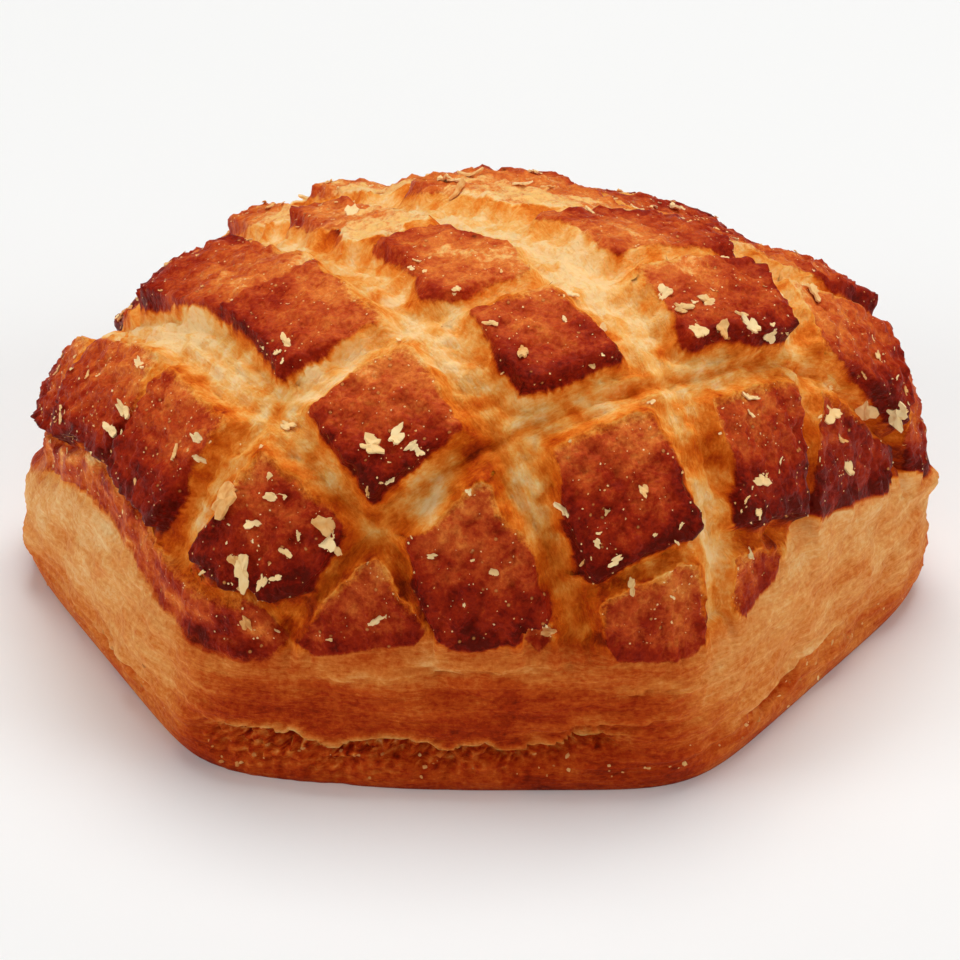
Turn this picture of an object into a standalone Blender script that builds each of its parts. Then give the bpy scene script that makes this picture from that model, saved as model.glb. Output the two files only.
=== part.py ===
"""A potato scone: a six-sided puck of layered dough with a domed, scored, browned top.

The scone is one solid. It is worked out in the way the real one comes about. A flat six-sided
disc of dough is scored with rows and columns of cuts. The disc then puffs into a dome: the crust
between the cuts stays as plates that stand a little proud, each raised most at its downhill edge,
and the soft dough between them opens into valleys. A wall of thin layers runs down from the rim to
a flat foot, with a crack above the foot at the front. Last, dried flakes of dough are fused to it.
Metres, +Z up, front of the scone towards -Y, origin under the middle of its box.
"""
import math
import random

import bmesh
import bpy
import numpy as np
from mathutils import Matrix, Vector

MM = 0.001
NAME = "potato_scone"

# Outline seen from above: a hexagon with round corners, turned a little from the square.
FLAT_RADIUS = 38.8 * MM
CORNER_ORDER = 14.0
TURN = -0.06

# Height of the rim at twelve stations round it: corner, flat, corner, flat, from +X on.
RIM_HEIGHTS = np.array([14.5, 12.5, 11.5, 13.5, 13.0, 12.5, 12.0, 17.5, 14.0, 16.7, 15.0, 20.0]) * MM

# The dome over the rim. Its middle rises higher at the front than at the back.
MIDDLE_HEIGHT = 8.0 * MM
DOME_RISE = 31.0 * MM
DOME_LEAN_X = 0.09
DOME_LEAN_Y = -0.30

# The crust laid flat is wider than the scone by this factor. Scoring is given on the flat crust.
FLAT_STRETCH = 1.25

# Scoring. Rows run along ROW_ANGLE and columns run across them. A cut is a gentle curve, given by
# its offsets at -STATION, 0 and +STATION along it, and by its opening at the same three places,
# all in millimetres.
ROW_ANGLE = math.radians(31.0)
STATION = 30.0 * MM
ROW_CUTS = [
    ((-44.0, -45.8, -47.0), (1.8, 2.6, 2.2)),
    ((-29.0, -30.2, -33.5), (3.2, 5.8, 3.6)),
    ((-14.2, -15.7, -20.0), (4.6, 2.8, 2.4)),
    ((0.0, -1.8, -7.0), (1.8, 3.4, 2.8)),
    ((16.5, 15.5, 10.0), (2.8, 3.4, 3.0)),
    ((32.0, 31.5, 27.0), (2.6, 3.2, 3.0)),
    ((46.0, 46.5, 43.0), (2.2, 2.6, 2.4)),
]
COLUMN_CUTS = [
    ((-42.8, -44.8, -44.0), (1.4, 1.4, 1.6)),
    ((-28.7, -28.0, -27.0), (3.0, 6.4, 4.6)),
    ((-14.6, -12.0, -10.0), (6.0, 5.2, 4.0)),
    ((0.6, -0.4, -1.5), (6.2, 6.8, 4.4)),
    ((16.8, 16.5, 14.5), (3.4, 3.6, 3.4)),
    ((34.5, 32.0, 30.5), (2.4, 2.8, 2.6)),
]
# Width of the cells beyond the outermost cuts.
OUTER_CELL = 15.0 * MM
# One long plate: its two halves are joined by crust across this row cut.
JOINED_ROW = 3
JOINED_AT = -19.5 * MM
JOINED_REACH = 6.0 * MM
JOINED_WIDTH = 4.0 * MM

# Relief of the top.
PLATE_CORNER = 1.1 * MM
PLATE_EDGE = 0.4 * MM
PLATE_LIFT = 0.2 * MM
PLATE_TILT = 1.9 * MM
PLATE_LUCK = 0.25 * MM
VALLEY_DEPTH = 1.4 * MM
VALLEY_SLOPE = (-0.2 * MM, 1.6 * MM)
# One long crease along a row cut, fading in from its left end.
CREASE_ROW = 1
CREASE_DEPTH = 0.8 * MM
CREASE_WIDTH = 0.9 * MM
CREASE_START = (-30.0 * MM, -18.0 * MM)

# The wall: it swells in the middle, is rounded in at the foot, and shows its layers.
WALL_SWELL = 0.8 * MM
FOOT_ROUND = 1.6 * MM
FOOT_INSET = 1.3 * MM
LAYER_PITCH = 2.3 * MM
LAYER_RELIEF = 0.14 * MM
LIP_DROP = 2.2 * MM
LAYERS_ABOVE_FOOT = (1.0 * MM, 3.0 * MM)
LAYERS_BELOW_RIM = (0.5 * MM, 2.5 * MM)

# The crack above the foot at the front, from one bearing to the other.
CRACK_FROM = math.radians(-128.0)
CRACK_TO = math.radians(-68.0)
CRACK_END = 0.25
CRACK_HEIGHT = 3.9 * MM
CRACK_WAVE = 0.5 * MM
CRACK_GAPE = 0.95 * MM
CRACK_DEPTH = 1.9 * MM

# Mesh: rings from the middle to the rim, rings down the wall, and the share of faces kept.
TOP_RINGS = 80
WALL_RINGS = 18
KEPT_FACES = 0.157
# The dome steepens without limit at the rim, so its slopes are read this share of the way out,
# between points this far to either side.
SLOPE_SHARE = 0.985
SLOPE_STEP = 0.3 * MM

# Flakes of dried dough.
SEED = 7
FLAKE_SIZES = (1.7 * MM, 3.3 * MM)
FLAKE_THICKNESS = 0.45 * MM
FLAKE_SIDES = 6
FLAKES_PER_PLATE = 3
FLAKE_SINK = 0.2 * MM
FLAKE_TIP = (4.0, 16.0)
FLAKES_WITHIN = 0.94


def hexagon_gauge(x, y, order):
    """Distance from the middle in a rounded hexagon with corners on X, as a multiple of its flats."""
    third = math.pi / 6.0
    across = x * math.cos(third)
    up = y * math.sin(third)
    terms = np.abs(across + up) ** order + np.abs(y) ** order + np.abs(across - up) ** order
    return terms ** (1.0 / order)


def outline_radius(bearing):
    """Radius of the rim in a direction."""
    turned = bearing - TURN
    return FLAT_RADIUS / hexagon_gauge(np.cos(turned), np.sin(turned), CORNER_ORDER)


def rim_height(bearing):
    """Height of the rim, eased from each of the twelve stations to the next."""
    place = ((bearing - TURN) / (math.pi / 6.0)) % 12.0
    station = np.floor(place).astype(int) % 12
    share = 0.5 - 0.5 * np.cos(math.pi * (place - np.floor(place)))
    return RIM_HEIGHTS[station] * (1.0 - share) + RIM_HEIGHTS[(station + 1) % 12] * share


def on_flat_crust(x, y):
    """Bearing of a place on the flat crust, and its share of the way to the rim."""
    bearing = np.arctan2(y, x)
    return bearing, np.minimum(np.hypot(x, y) / (FLAT_STRETCH * outline_radius(bearing)), 1.0)


def puffed(x, y):
    """The point of the unscored dome to which a place on the flat crust rises."""
    bearing, share = on_flat_crust(x, y)
    reach = np.sin(share * math.pi / 2.0)
    radius = outline_radius(bearing) * reach
    top_x = radius * np.cos(bearing)
    top_y = radius * np.sin(bearing)
    lean = 1.0 + DOME_LEAN_X * top_x / FLAT_RADIUS + DOME_LEAN_Y * top_y / FLAT_RADIUS
    base = rim_height(bearing) * reach ** 2 + MIDDLE_HEIGHT * (1.0 - reach ** 2)
    return np.stack([top_x, top_y, base + DOME_RISE * np.cos(share * math.pi / 2.0) * lean], axis=-1)


def dome_slopes(x, y):
    """How the dome runs along x and y of the flat crust, read just inside the rim."""
    _, share = on_flat_crust(x, y)
    inward = np.minimum(1.0, SLOPE_SHARE / np.maximum(share, 0.01))
    x, y = x * inward, y * inward
    along_x = (puffed(x + SLOPE_STEP, y) - puffed(x - SLOPE_STEP, y)) / (2.0 * SLOPE_STEP)
    along_y = (puffed(x, y + SLOPE_STEP) - puffed(x, y - SLOPE_STEP)) / (2.0 * SLOPE_STEP)
    return along_x, along_y


def through_stations(values, along):
    """The parabola through three values, in millimetres, at -STATION, 0 and +STATION."""
    low, middle, high = (value * MM for value in values)
    share = np.clip(along / STATION, -1.4, 1.4)
    return middle + 0.5 * (high - low) * share + (0.5 * (high + low) - middle) * share ** 2


def cell_between(cuts, along, across):
    """For each point its cell between the cuts: number, place across it from 0 to 1, two insets."""
    centres = np.array([through_stations(cut[0], along) for cut in cuts])
    halves = np.array([through_stations(cut[1], along) for cut in cuts]) / 2.0
    number = (across[None] > centres).sum(axis=0)
    lines = np.concatenate([centres[:1] - OUTER_CELL, centres, centres[-1:] + OUTER_CELL])
    openings = np.concatenate([halves[:1], halves, halves[-1:]])
    pick = np.arange(across.size)
    low, high = lines[number, pick], lines[number + 1, pick]
    inset_low = across - low - openings[number, pick]
    inset_high = high - across - openings[number + 1, pick]
    return number, (across - low) / (high - low), inset_low, inset_high


def rounded_inset(first, second, corner):
    """Distance in from the edge of a plate, with the corner rounded."""
    nearest = np.minimum(first, second)
    past = np.hypot(np.minimum(first - corner, 0.0), np.minimum(second - corner, 0.0))
    inside_corner = (first < corner) & (second < corner)
    return np.where(inside_corner, corner - past, nearest)


def ease(value, start, stop):
    """0 before start, 1 after stop, eased between."""
    share = np.clip((value - start) / (stop - start), 0.0, 1.0)
    return share * share * (3.0 - 2.0 * share)


def plate_lottery(rows, columns):
    """A fixed draw for each plate: how much higher or lower it sits."""
    draw = random.Random(SEED)
    return np.array([[draw.uniform(-1.0, 1.0) for _ in range(columns)] for _ in range(rows)])


LOTTERY = plate_lottery(len(ROW_CUTS) + 1, len(COLUMN_CUTS) + 1)


def scoring(x, y, along_x, along_y):
    """Height of the relief over the dome, for places on the flat crust: plates up, valleys down."""
    cosine, sine = math.cos(ROW_ANGLE), math.sin(ROW_ANGLE)
    along = x * cosine + y * sine
    across = -x * sine + y * cosine
    row, row_place, row_low, row_high = cell_between(ROW_CUTS, along, across)
    column, column_place, column_low, column_high = cell_between(COLUMN_CUTS, across, along)
    joined = JOINED_WIDTH * np.exp(-((along - JOINED_AT) / JOINED_REACH) ** 4)
    row_low = row_low + np.where(row == JOINED_ROW + 1, joined, 0.0)
    row_high = row_high + np.where(row == JOINED_ROW, joined, 0.0)
    inset = rounded_inset(np.minimum(row_low, row_high), np.minimum(column_low, column_high), PLATE_CORNER)
    cover = ease(inset, -PLATE_EDGE, PLATE_EDGE)
    down_along = -(along_x[:, 2] * cosine + along_y[:, 2] * sine)
    down_across = -(-along_x[:, 2] * sine + along_y[:, 2] * cosine)
    downhill = (column_place - 0.5) * down_along + (row_place - 0.5) * down_across
    plate = PLATE_LIFT + PLATE_TILT * downhill + PLATE_LUCK * LOTTERY[row, column]
    crease_line = through_stations(ROW_CUTS[CREASE_ROW][0], along)
    crease = np.exp(-((across - crease_line) / CREASE_WIDTH) ** 2) * ease(along, *CREASE_START)
    valley = -VALLEY_DEPTH * ease(-inset, *VALLEY_SLOPE) - CREASE_DEPTH * crease
    return cover * plate + (1.0 - cover) * valley


def top_point(x, y):
    """The point of the scored dome over a place on the flat crust, and its outward direction."""
    along_x, along_y = dome_slopes(x, y)
    outward = np.cross(along_x, along_y)
    outward /= np.linalg.norm(outward, axis=-1, keepdims=True)
    relief = scoring(x, y, along_x, along_y)
    return puffed(x, y) + outward * relief[:, None], outward


def wall_point(bearing, share):
    """A point of the wall: share is 1 at the rim and 0 at the foot."""
    rim = outline_radius(bearing)
    edge_x = FLAT_STRETCH * rim * np.cos(bearing)
    edge_y = FLAT_STRETCH * rim * np.sin(bearing)
    edge, _ = top_point(edge_x, edge_y)
    edge_out = np.hypot(edge[:, 0], edge[:, 1]) - rim
    z = edge[:, 2] * share
    drop = edge[:, 2] - z
    swell = WALL_SWELL * np.sin(math.pi * share)
    wander = 1.6 * np.sin(3.0 * bearing + 1.0) + 1.1 * np.sin(7.0 * bearing)
    fading = 0.6 + 0.4 * np.sin(5.0 * bearing + 2.0 * share)
    layers = LAYER_RELIEF * fading * np.sin(2.0 * math.pi * z / LAYER_PITCH + wander)
    layers = layers * ease(z, *LAYERS_ABOVE_FOOT) * ease(drop, *LAYERS_BELOW_RIM)
    lip = edge_out * np.exp(-(drop / LIP_DROP) ** 2)
    foot = FOOT_INSET * np.clip(1.0 - z / FOOT_ROUND, 0.0, 1.0) ** 2
    opening = ease(bearing, CRACK_FROM, CRACK_FROM + CRACK_END)
    closing = ease(-bearing, -CRACK_TO, CRACK_END - CRACK_TO)
    facing = opening * closing
    crack_line = CRACK_HEIGHT + CRACK_WAVE * np.sin(9.0 * bearing)
    crack = CRACK_DEPTH * facing * np.exp(-((z - crack_line) / CRACK_GAPE) ** 4)
    radius = rim + swell + layers + lip - foot - crack
    return np.stack([radius * np.cos(bearing), radius * np.sin(bearing), z], axis=-1)


def hexagon_disc():
    """A flat six-sided disc of small triangles, with its border drawn down into wall rings."""
    mesh = bmesh.new()
    turned = Matrix.Rotation(math.radians(30.0), 4, "Z")
    bmesh.ops.create_circle(mesh, cap_ends=True, cap_tris=True, segments=6, radius=1.0, matrix=turned)
    bmesh.ops.subdivide_edges(mesh, edges=mesh.edges[:], cuts=TOP_RINGS - 1, use_grid_fill=True)
    ring_of = mesh.verts.layers.int.new("ring")
    border = [edge for edge in mesh.edges if edge.is_boundary]
    for ring in range(1, WALL_RINGS + 1):
        drawn = bmesh.ops.extrude_edge_only(mesh, edges=border)["geom"]
        for vert in drawn:
            if isinstance(vert, bmesh.types.BMVert):
                vert[ring_of] = ring
        border = [edge for edge in drawn if isinstance(edge, bmesh.types.BMEdge) and edge.is_boundary]
    bmesh.ops.triangle_fill(mesh, edges=border, use_beauty=True)
    return mesh, ring_of


def shape_dough(mesh, ring_of):
    """Move every point of the disc to its place on the dome or the wall."""
    flat = np.array([vert.co[:2] for vert in mesh.verts])
    ring = np.array([vert[ring_of] for vert in mesh.verts])
    bearing = np.arctan2(flat[:, 1], flat[:, 0]) + TURN
    bearing = (bearing + math.pi) % (2.0 * math.pi) - math.pi
    across_flats = [math.radians(30.0 + 60.0 * side) for side in range(3)]
    gauges = [np.abs(flat @ np.array([math.cos(angle), math.sin(angle)])) for angle in across_flats]
    share = np.minimum(np.maximum.reduce(gauges) / math.cos(math.radians(30.0)), 1.0)
    radius = FLAT_STRETCH * outline_radius(bearing) * share
    top, _ = top_point(radius * np.cos(bearing), radius * np.sin(bearing))
    wall = wall_point(bearing, 1.0 - ring / WALL_RINGS)
    for vert, place in zip(mesh.verts, np.where((ring > 0)[:, None], wall, top)):
        vert.co = place


def flake_object(name, place, normal, size, draw):
    """One flake: a thin ragged plate, tipped a little, with its lower half sunk in the crust."""
    mesh = bmesh.new()
    stretch = draw.uniform(0.5, 0.9)
    outline = []
    for side in range(FLAKE_SIDES):
        angle = 2.0 * math.pi * (side + draw.uniform(-0.25, 0.25)) / FLAKE_SIDES
        radius = 0.5 * size * draw.uniform(0.75, 1.15)
        outline.append(mesh.verts.new((radius * math.cos(angle), stretch * radius * math.sin(angle), 0.0)))
    face = mesh.faces.new(outline)
    lifted = bmesh.ops.extrude_face_region(mesh, geom=[face])["geom"]
    for vert in lifted:
        if isinstance(vert, bmesh.types.BMVert):
            vert.co.z = FLAKE_THICKNESS
    bmesh.ops.recalc_face_normals(mesh, faces=mesh.faces[:])
    data = bpy.data.meshes.new(name)
    mesh.to_mesh(data)
    mesh.free()
    flake = bpy.data.objects.new(name, data)
    spin = Matrix.Rotation(draw.uniform(0.0, 2.0 * math.pi), 3, "Z")
    tip = Matrix.Rotation(math.radians(draw.uniform(*FLAKE_TIP)), 3, "X")
    facing = Vector((0.0, 0.0, 1.0)).rotation_difference(normal).to_matrix()
    turn = facing @ spin @ tip
    flake.matrix_world = Matrix.Translation(place - normal * FLAKE_SINK) @ turn.to_4x4()
    return flake


def flake_places(draw):
    """Flakes for each plate, most of them near its downhill edge, as places on the flat crust."""
    rows = [cut[0][1] * MM for cut in ROW_CUTS]
    columns = [cut[0][1] * MM for cut in COLUMN_CUTS]
    places = []
    for low, high in zip(rows, rows[1:]):
        for left, right in zip(columns, columns[1:]):
            for number in range(FLAKES_PER_PLATE):
                share = draw.uniform(0.2, 0.5) if number else draw.uniform(0.45, 0.8)
                across = low + (high - low) * share
                along = left + (right - left) * draw.uniform(0.2, 0.8)
                x = along * math.cos(ROW_ANGLE) - across * math.sin(ROW_ANGLE)
                y = along * math.sin(ROW_ANGLE) + across * math.cos(ROW_ANGLE)
                _, share_of_way = on_flat_crust(x, y)
                if share_of_way < FLAKES_WITHIN:
                    places.append((x, y, draw.uniform(*FLAKE_SIZES)))
    return sorted(places, key=lambda place: -place[2])


def apply_modifier(target, kind, settings):
    """Add a modifier with its settings and apply it."""
    modifier = target.modifiers.new(kind.title(), kind)
    for name, value in settings.items():
        setattr(modifier, name, value)
    bpy.context.view_layer.objects.active = target
    bpy.ops.object.modifier_apply(modifier=modifier.name)


def keep_largest_shell(target):
    """Drop loose scraps, and fill sealed hollows by removing their inner walls."""
    mesh = bmesh.new()
    mesh.from_mesh(target.data)
    waiting = set(mesh.verts)
    shells = []
    while waiting:
        stack = [waiting.pop()]
        shell = set(stack)
        while stack:
            for edge in stack.pop().link_edges:
                for vert in edge.verts:
                    if vert in waiting:
                        waiting.discard(vert)
                        shell.add(vert)
                        stack.append(vert)
        shells.append(shell)
    largest = max(shells, key=len)
    spare = [vert for vert in mesh.verts if vert not in largest]
    bmesh.ops.delete(mesh, geom=spare, context="VERTS")
    bmesh.ops.triangulate(mesh, faces=mesh.faces[:])
    mesh.to_mesh(target.data)
    mesh.free()


def fuse_flakes(target):
    """Join all flakes to the dough by one union on their collection."""
    draw = random.Random(SEED + 1)
    group = bpy.data.collections.new("flakes")
    bpy.context.scene.collection.children.link(group)
    for number, (x, y, size) in enumerate(flake_places(draw)):
        places, outwards = top_point(np.array([x]), np.array([y]))
        flake = flake_object(f"flake_{number}", Vector(places[0]), Vector(outwards[0]), size, draw)
        group.objects.link(flake)
    settings = {"operation": "UNION", "operand_type": "COLLECTION", "collection": group, "solver": "MANIFOLD"}
    apply_modifier(target, "BOOLEAN", settings)
    for flake in list(group.objects):
        bpy.data.objects.remove(flake, do_unlink=True)
    bpy.data.collections.remove(group)


def centre_over_origin(target):
    """Put the middle of the box over the origin and the foot on the ground."""
    corners = np.array([vert.co for vert in target.data.vertices])
    middle = (corners.min(axis=0) + corners.max(axis=0)) / 2.0
    target.data.transform(Matrix.Translation((-middle[0], -middle[1], -corners[:, 2].min())))


def crust_material():
    """Baked dough: a warm brown, matt surface."""
    material = bpy.data.materials.new("baked_dough")
    material.use_nodes = True
    shader = material.node_tree.nodes["Principled BSDF"]
    shader.inputs["Base Color"].default_value = (0.55, 0.22, 0.07, 1.0)
    shader.inputs["Roughness"].default_value = 0.6
    shader.inputs["Metallic"].default_value = 0.0
    return material


def main():
    for item in list(bpy.data.objects):
        bpy.data.objects.remove(item, do_unlink=True)
    mesh, ring_of = hexagon_disc()
    shape_dough(mesh, ring_of)
    bmesh.ops.recalc_face_normals(mesh, faces=mesh.faces[:])
    data = bpy.data.meshes.new(NAME)
    mesh.to_mesh(data)
    mesh.free()
    scone = bpy.data.objects.new(NAME, data)
    bpy.context.scene.collection.objects.link(scone)
    apply_modifier(scone, "DECIMATE", {"ratio": KEPT_FACES})
    fuse_flakes(scone)
    keep_largest_shell(scone)
    centre_over_origin(scone)
    scone.data.materials.clear()
    scone.data.materials.append(crust_material())


main()
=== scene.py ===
# %% [markdown]
# # A potato scone, baked in Blender
# The real scone is a six-sided piece of layered dough. A baker scores its top with a lattice of cuts
# and it puffs up in the oven: the crust between the cuts turns into brown plates, and the soft dough
# under it opens into pale valleys. Dried flakes lie on the crust.
#
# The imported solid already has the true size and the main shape. This lesson builds the same form
# again with a much finer skin, colours it, and adds what is too small for the solid.

# %% Load the frame
import math
import random

import bpy
import numpy as np
from mathutils import Matrix, Vector


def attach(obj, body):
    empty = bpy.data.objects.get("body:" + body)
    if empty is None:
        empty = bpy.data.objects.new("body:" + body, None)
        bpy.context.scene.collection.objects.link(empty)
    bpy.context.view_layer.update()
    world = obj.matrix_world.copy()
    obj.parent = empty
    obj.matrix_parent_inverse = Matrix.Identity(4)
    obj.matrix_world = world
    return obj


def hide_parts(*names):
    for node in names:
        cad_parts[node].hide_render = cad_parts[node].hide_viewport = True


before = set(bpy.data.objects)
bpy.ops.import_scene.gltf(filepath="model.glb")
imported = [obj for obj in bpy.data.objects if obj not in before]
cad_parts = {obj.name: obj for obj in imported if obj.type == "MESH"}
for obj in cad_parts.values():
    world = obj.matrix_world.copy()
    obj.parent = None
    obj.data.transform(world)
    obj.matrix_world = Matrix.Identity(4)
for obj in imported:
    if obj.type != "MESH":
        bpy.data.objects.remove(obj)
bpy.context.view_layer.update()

MM = 0.001

# %% [markdown]
# ## Camera
# The photo looks down on the scone from the front at about 30 degrees, from far enough away that
# near and far corners look almost the same size. A long lens half a metre off gives that view. The
# camera is made first, because rays from it find the places of the large flakes later.

# %% Camera
PHOTO_SIZE = 960.0
CAMERA_ELEVATION = math.radians(30.0)
CAMERA_DISTANCE = 0.5
CAMERA_AIM = Vector((0.0, 0.0, 9.8 * MM))
CAMERA_LENS = 195.0
CAMERA_SENSOR = 36.0
CAMERA_NEAR = 0.01
CAMERA_SHIFT_X = 6.5 / PHOTO_SIZE


def add_camera():
    """A camera in front of the scone, looking down at it."""
    data = bpy.data.cameras.new("camera")
    data.lens = CAMERA_LENS
    data.sensor_width = CAMERA_SENSOR
    data.shift_x = CAMERA_SHIFT_X
    data.clip_start = CAMERA_NEAR
    camera = bpy.data.objects.new("camera", data)
    bpy.context.scene.collection.objects.link(camera)
    back = Vector((0.0, -math.cos(CAMERA_ELEVATION), math.sin(CAMERA_ELEVATION)))
    camera.location = CAMERA_AIM + back * CAMERA_DISTANCE
    camera.rotation_euler = (-back).to_track_quat("-Z", "Y").to_euler()
    bpy.context.scene.camera = camera
    return camera


print("camera at", [round(value, 3) for value in add_camera().location])

# %% [markdown]
# ## Floor and light
# A pale floor and large soft lamps, as in a product studio. The key lamp hangs above and a little
# behind, so the top is bright and the front wall falls into a warmer shade, as on the real scone.
# Two side panels brighten the left and the right wall.

# %% Floor and light
FLOOR_SIZE = 3.0
FLOOR_COLOUR = (0.90, 0.90, 0.89, 1.0)
FLOOR_ROUGHNESS = 0.7
SURROUND_COLOUR = (1.0, 1.0, 1.0, 1.0)
SURROUND_STRENGTH = 0.16
# Name, place and size in metres, and power in watts, of each lamp.
PANELS = [
    ("key", (0.05, 0.22, 0.75), 0.55, 4.6),
    ("left_fill", (-0.75, -0.22, 0.32), 0.45, 2.2),
    ("right_fill", (0.75, -0.22, 0.36), 0.45, 2.0),
    ("front_fill", (0.0, -0.85, 0.55), 0.50, 1.2),
]


def add_floor():
    """A plain pale floor, which isn't part of the object."""
    bpy.ops.mesh.primitive_plane_add(size=FLOOR_SIZE)
    floor = bpy.context.object
    floor.name = "floor"
    paint = bpy.data.materials.new("floor_paint")
    paint.use_nodes = True
    shader = paint.node_tree.nodes["Principled BSDF"]
    shader.inputs["Base Color"].default_value = FLOOR_COLOUR
    shader.inputs["Roughness"].default_value = FLOOR_ROUGHNESS
    floor.data.materials.append(paint)
    return floor


def add_panel(name, place, size, power):
    """One square lamp that faces the scone."""
    data = bpy.data.lights.new(name, "AREA")
    data.size = size
    data.energy = power
    lamp = bpy.data.objects.new(name, data)
    bpy.context.scene.collection.objects.link(lamp)
    lamp.location = place
    lamp.rotation_euler = (-Vector(place)).to_track_quat("-Z", "Y").to_euler()
    return lamp


def add_world():
    """An even, dim, white surround that keeps the shadows open."""
    world = bpy.data.worlds.new("surround")
    world.use_nodes = True
    background = world.node_tree.nodes["Background"]
    background.inputs["Color"].default_value = SURROUND_COLOUR
    background.inputs["Strength"].default_value = SURROUND_STRENGTH
    bpy.context.scene.world = world


add_floor()
add_world()
for panel in PANELS:
    add_panel(*panel)
bpy.context.scene.view_settings.view_transform = "Standard"
print("lamps:", [panel[0] for panel in PANELS])

# %% [markdown]
# ## The outline
# Seen from above the scone is a hexagon with round corners. A plain hexagon with a bevel would do,
# but one formula gives the radius in any direction at once: the six flats are joined by a high
# power, and the power sets how round the corners are. The rim isn't level, so its height is given
# at each corner and at the middle of each flat, and is eased between them.

# %% The outline
FLAT_RADIUS = 38.8 * MM
CORNER_ORDER = 14.0
HALF_SIDE = math.pi / 6.0
TURN = -0.06
RIM_HEIGHTS = np.array([14.5, 12.5, 11.5, 13.5, 13.0, 12.5, 12.0, 17.5, 14.0, 16.7, 15.0, 20.0]) * MM


def hexagon_gauge(x, y):
    """Distance from the middle in a rounded hexagon with corners on X, as a multiple of its flats."""
    across = x * math.cos(HALF_SIDE)
    up = y * math.sin(HALF_SIDE)
    sides = (across + up, y, across - up)
    terms = sum(np.abs(side) ** CORNER_ORDER for side in sides)
    return terms ** (1.0 / CORNER_ORDER)


def outline_radius(bearing):
    """Radius of the rim in a direction."""
    turned = bearing - TURN
    return FLAT_RADIUS / hexagon_gauge(np.cos(turned), np.sin(turned))


def rim_height(bearing):
    """Height of the rim in a direction."""
    stations = len(RIM_HEIGHTS)
    place = ((bearing - TURN) / HALF_SIDE) % stations
    station = np.floor(place).astype(int) % stations
    share = 0.5 - 0.5 * np.cos(math.pi * (place - np.floor(place)))
    return RIM_HEIGHTS[station] * (1.0 - share) + RIM_HEIGHTS[(station + 1) % stations] * share


around = np.linspace(-math.pi, math.pi, 361)
print("rim radius, mm:", round(outline_radius(around).min() / MM, 1), "to",
      round(outline_radius(around).max() / MM, 1))

# %% [markdown]
# ## The puffed crust
# The crust starts as a flat disc, wider than the scone, and the oven lifts it into a dome. Scoring
# on the flat disc is a plain lattice, and once lifted it closes up towards the rim just as the real
# one does. So every place below is given on the flat crust and then carried onto the dome.

# %% The puffed crust
FLAT_STRETCH = 1.25
MIDDLE_HEIGHT = 8.0 * MM
DOME_RISE = 31.0 * MM
DOME_LEAN_X = 0.09
DOME_LEAN_Y = -0.30
SLOPE_SHARE = 0.985
SLOPE_STEP = 0.3 * MM
MIDDLE_SHARE = 0.01


def on_flat_crust(x, y):
    """Bearing of a place on the flat crust, and its share of the way to the rim."""
    bearing = np.arctan2(y, x)
    return bearing, np.minimum(np.hypot(x, y) / (FLAT_STRETCH * outline_radius(bearing)), 1.0)


def puffed(x, y):
    """The point of the unscored dome to which a place on the flat crust rises."""
    bearing, share = on_flat_crust(x, y)
    reach = np.sin(share * math.pi / 2.0)
    radius = outline_radius(bearing) * reach
    top_x = radius * np.cos(bearing)
    top_y = radius * np.sin(bearing)
    lean = 1.0 + DOME_LEAN_X * top_x / FLAT_RADIUS + DOME_LEAN_Y * top_y / FLAT_RADIUS
    base = rim_height(bearing) * reach ** 2 + MIDDLE_HEIGHT * (1.0 - reach ** 2)
    return np.stack([top_x, top_y, base + DOME_RISE * np.cos(share * math.pi / 2.0) * lean], axis=-1)


def dome_slopes(x, y):
    """How the dome runs along x and y of the flat crust, read just inside the rim."""
    _, share = on_flat_crust(x, y)
    inward = np.minimum(1.0, SLOPE_SHARE / np.maximum(share, MIDDLE_SHARE))
    x, y = x * inward, y * inward
    along_x = (puffed(x + SLOPE_STEP, y) - puffed(x - SLOPE_STEP, y)) / (2.0 * SLOPE_STEP)
    along_y = (puffed(x, y + SLOPE_STEP) - puffed(x, y - SLOPE_STEP)) / (2.0 * SLOPE_STEP)
    return along_x, along_y


print("dome over the origin, mm:", round(puffed(np.array([0.0]), np.array([0.0]))[0][2] / MM, 1))

# %% [markdown]
# ## Unevenness
# Dough is never smooth, yet a random number for each point would only look like static. Waves of
# about one length, in many random directions, add up to soft lumps about that far apart. A seed
# fixes the draw, so the lumps are the same each time. Baked dough has coarse and fine lumps at once,
# so a second helper lays several sizes over one another.

# %% Unevenness
WAVES = 36
WAVE_LENGTHS = (0.75, 1.6)


def lumps(places, pitch, seed):
    """Soft lumps about `pitch` apart, mean 0 and spread 1, at an array of places."""
    draw = np.random.default_rng(seed)
    directions = draw.normal(size=(WAVES, places.shape[1]))
    directions /= np.linalg.norm(directions, axis=1, keepdims=True)
    lengths = pitch * draw.uniform(*WAVE_LENGTHS, WAVES)
    phases = draw.uniform(0.0, 2.0 * math.pi, WAVES)
    total = np.zeros(len(places))
    for direction, length, phase in zip(directions, lengths, phases):
        total += np.cos(places @ direction * (2.0 * math.pi / length) + phase)
    return total / math.sqrt(WAVES / 2.0)


def layered_lumps(places, layers, seed):
    """Lumps of several sizes, one over another. A layer is (pitch, height)."""
    return sum(height * lumps(places, pitch, seed + n) for n, (pitch, height) in enumerate(layers))


def ease(value, start, stop):
    """0 before start, 1 after stop, eased between."""
    share = np.clip((value - start) / (stop - start), 0.0, 1.0)
    return share * share * (3.0 - 2.0 * share)


sample = lumps(np.random.default_rng(1).uniform(0.0, 1.0, (5000, 2)), 0.1, 2)
print("lumps: mean", round(sample.mean(), 2), "spread", round(sample.std(), 2))

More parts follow.
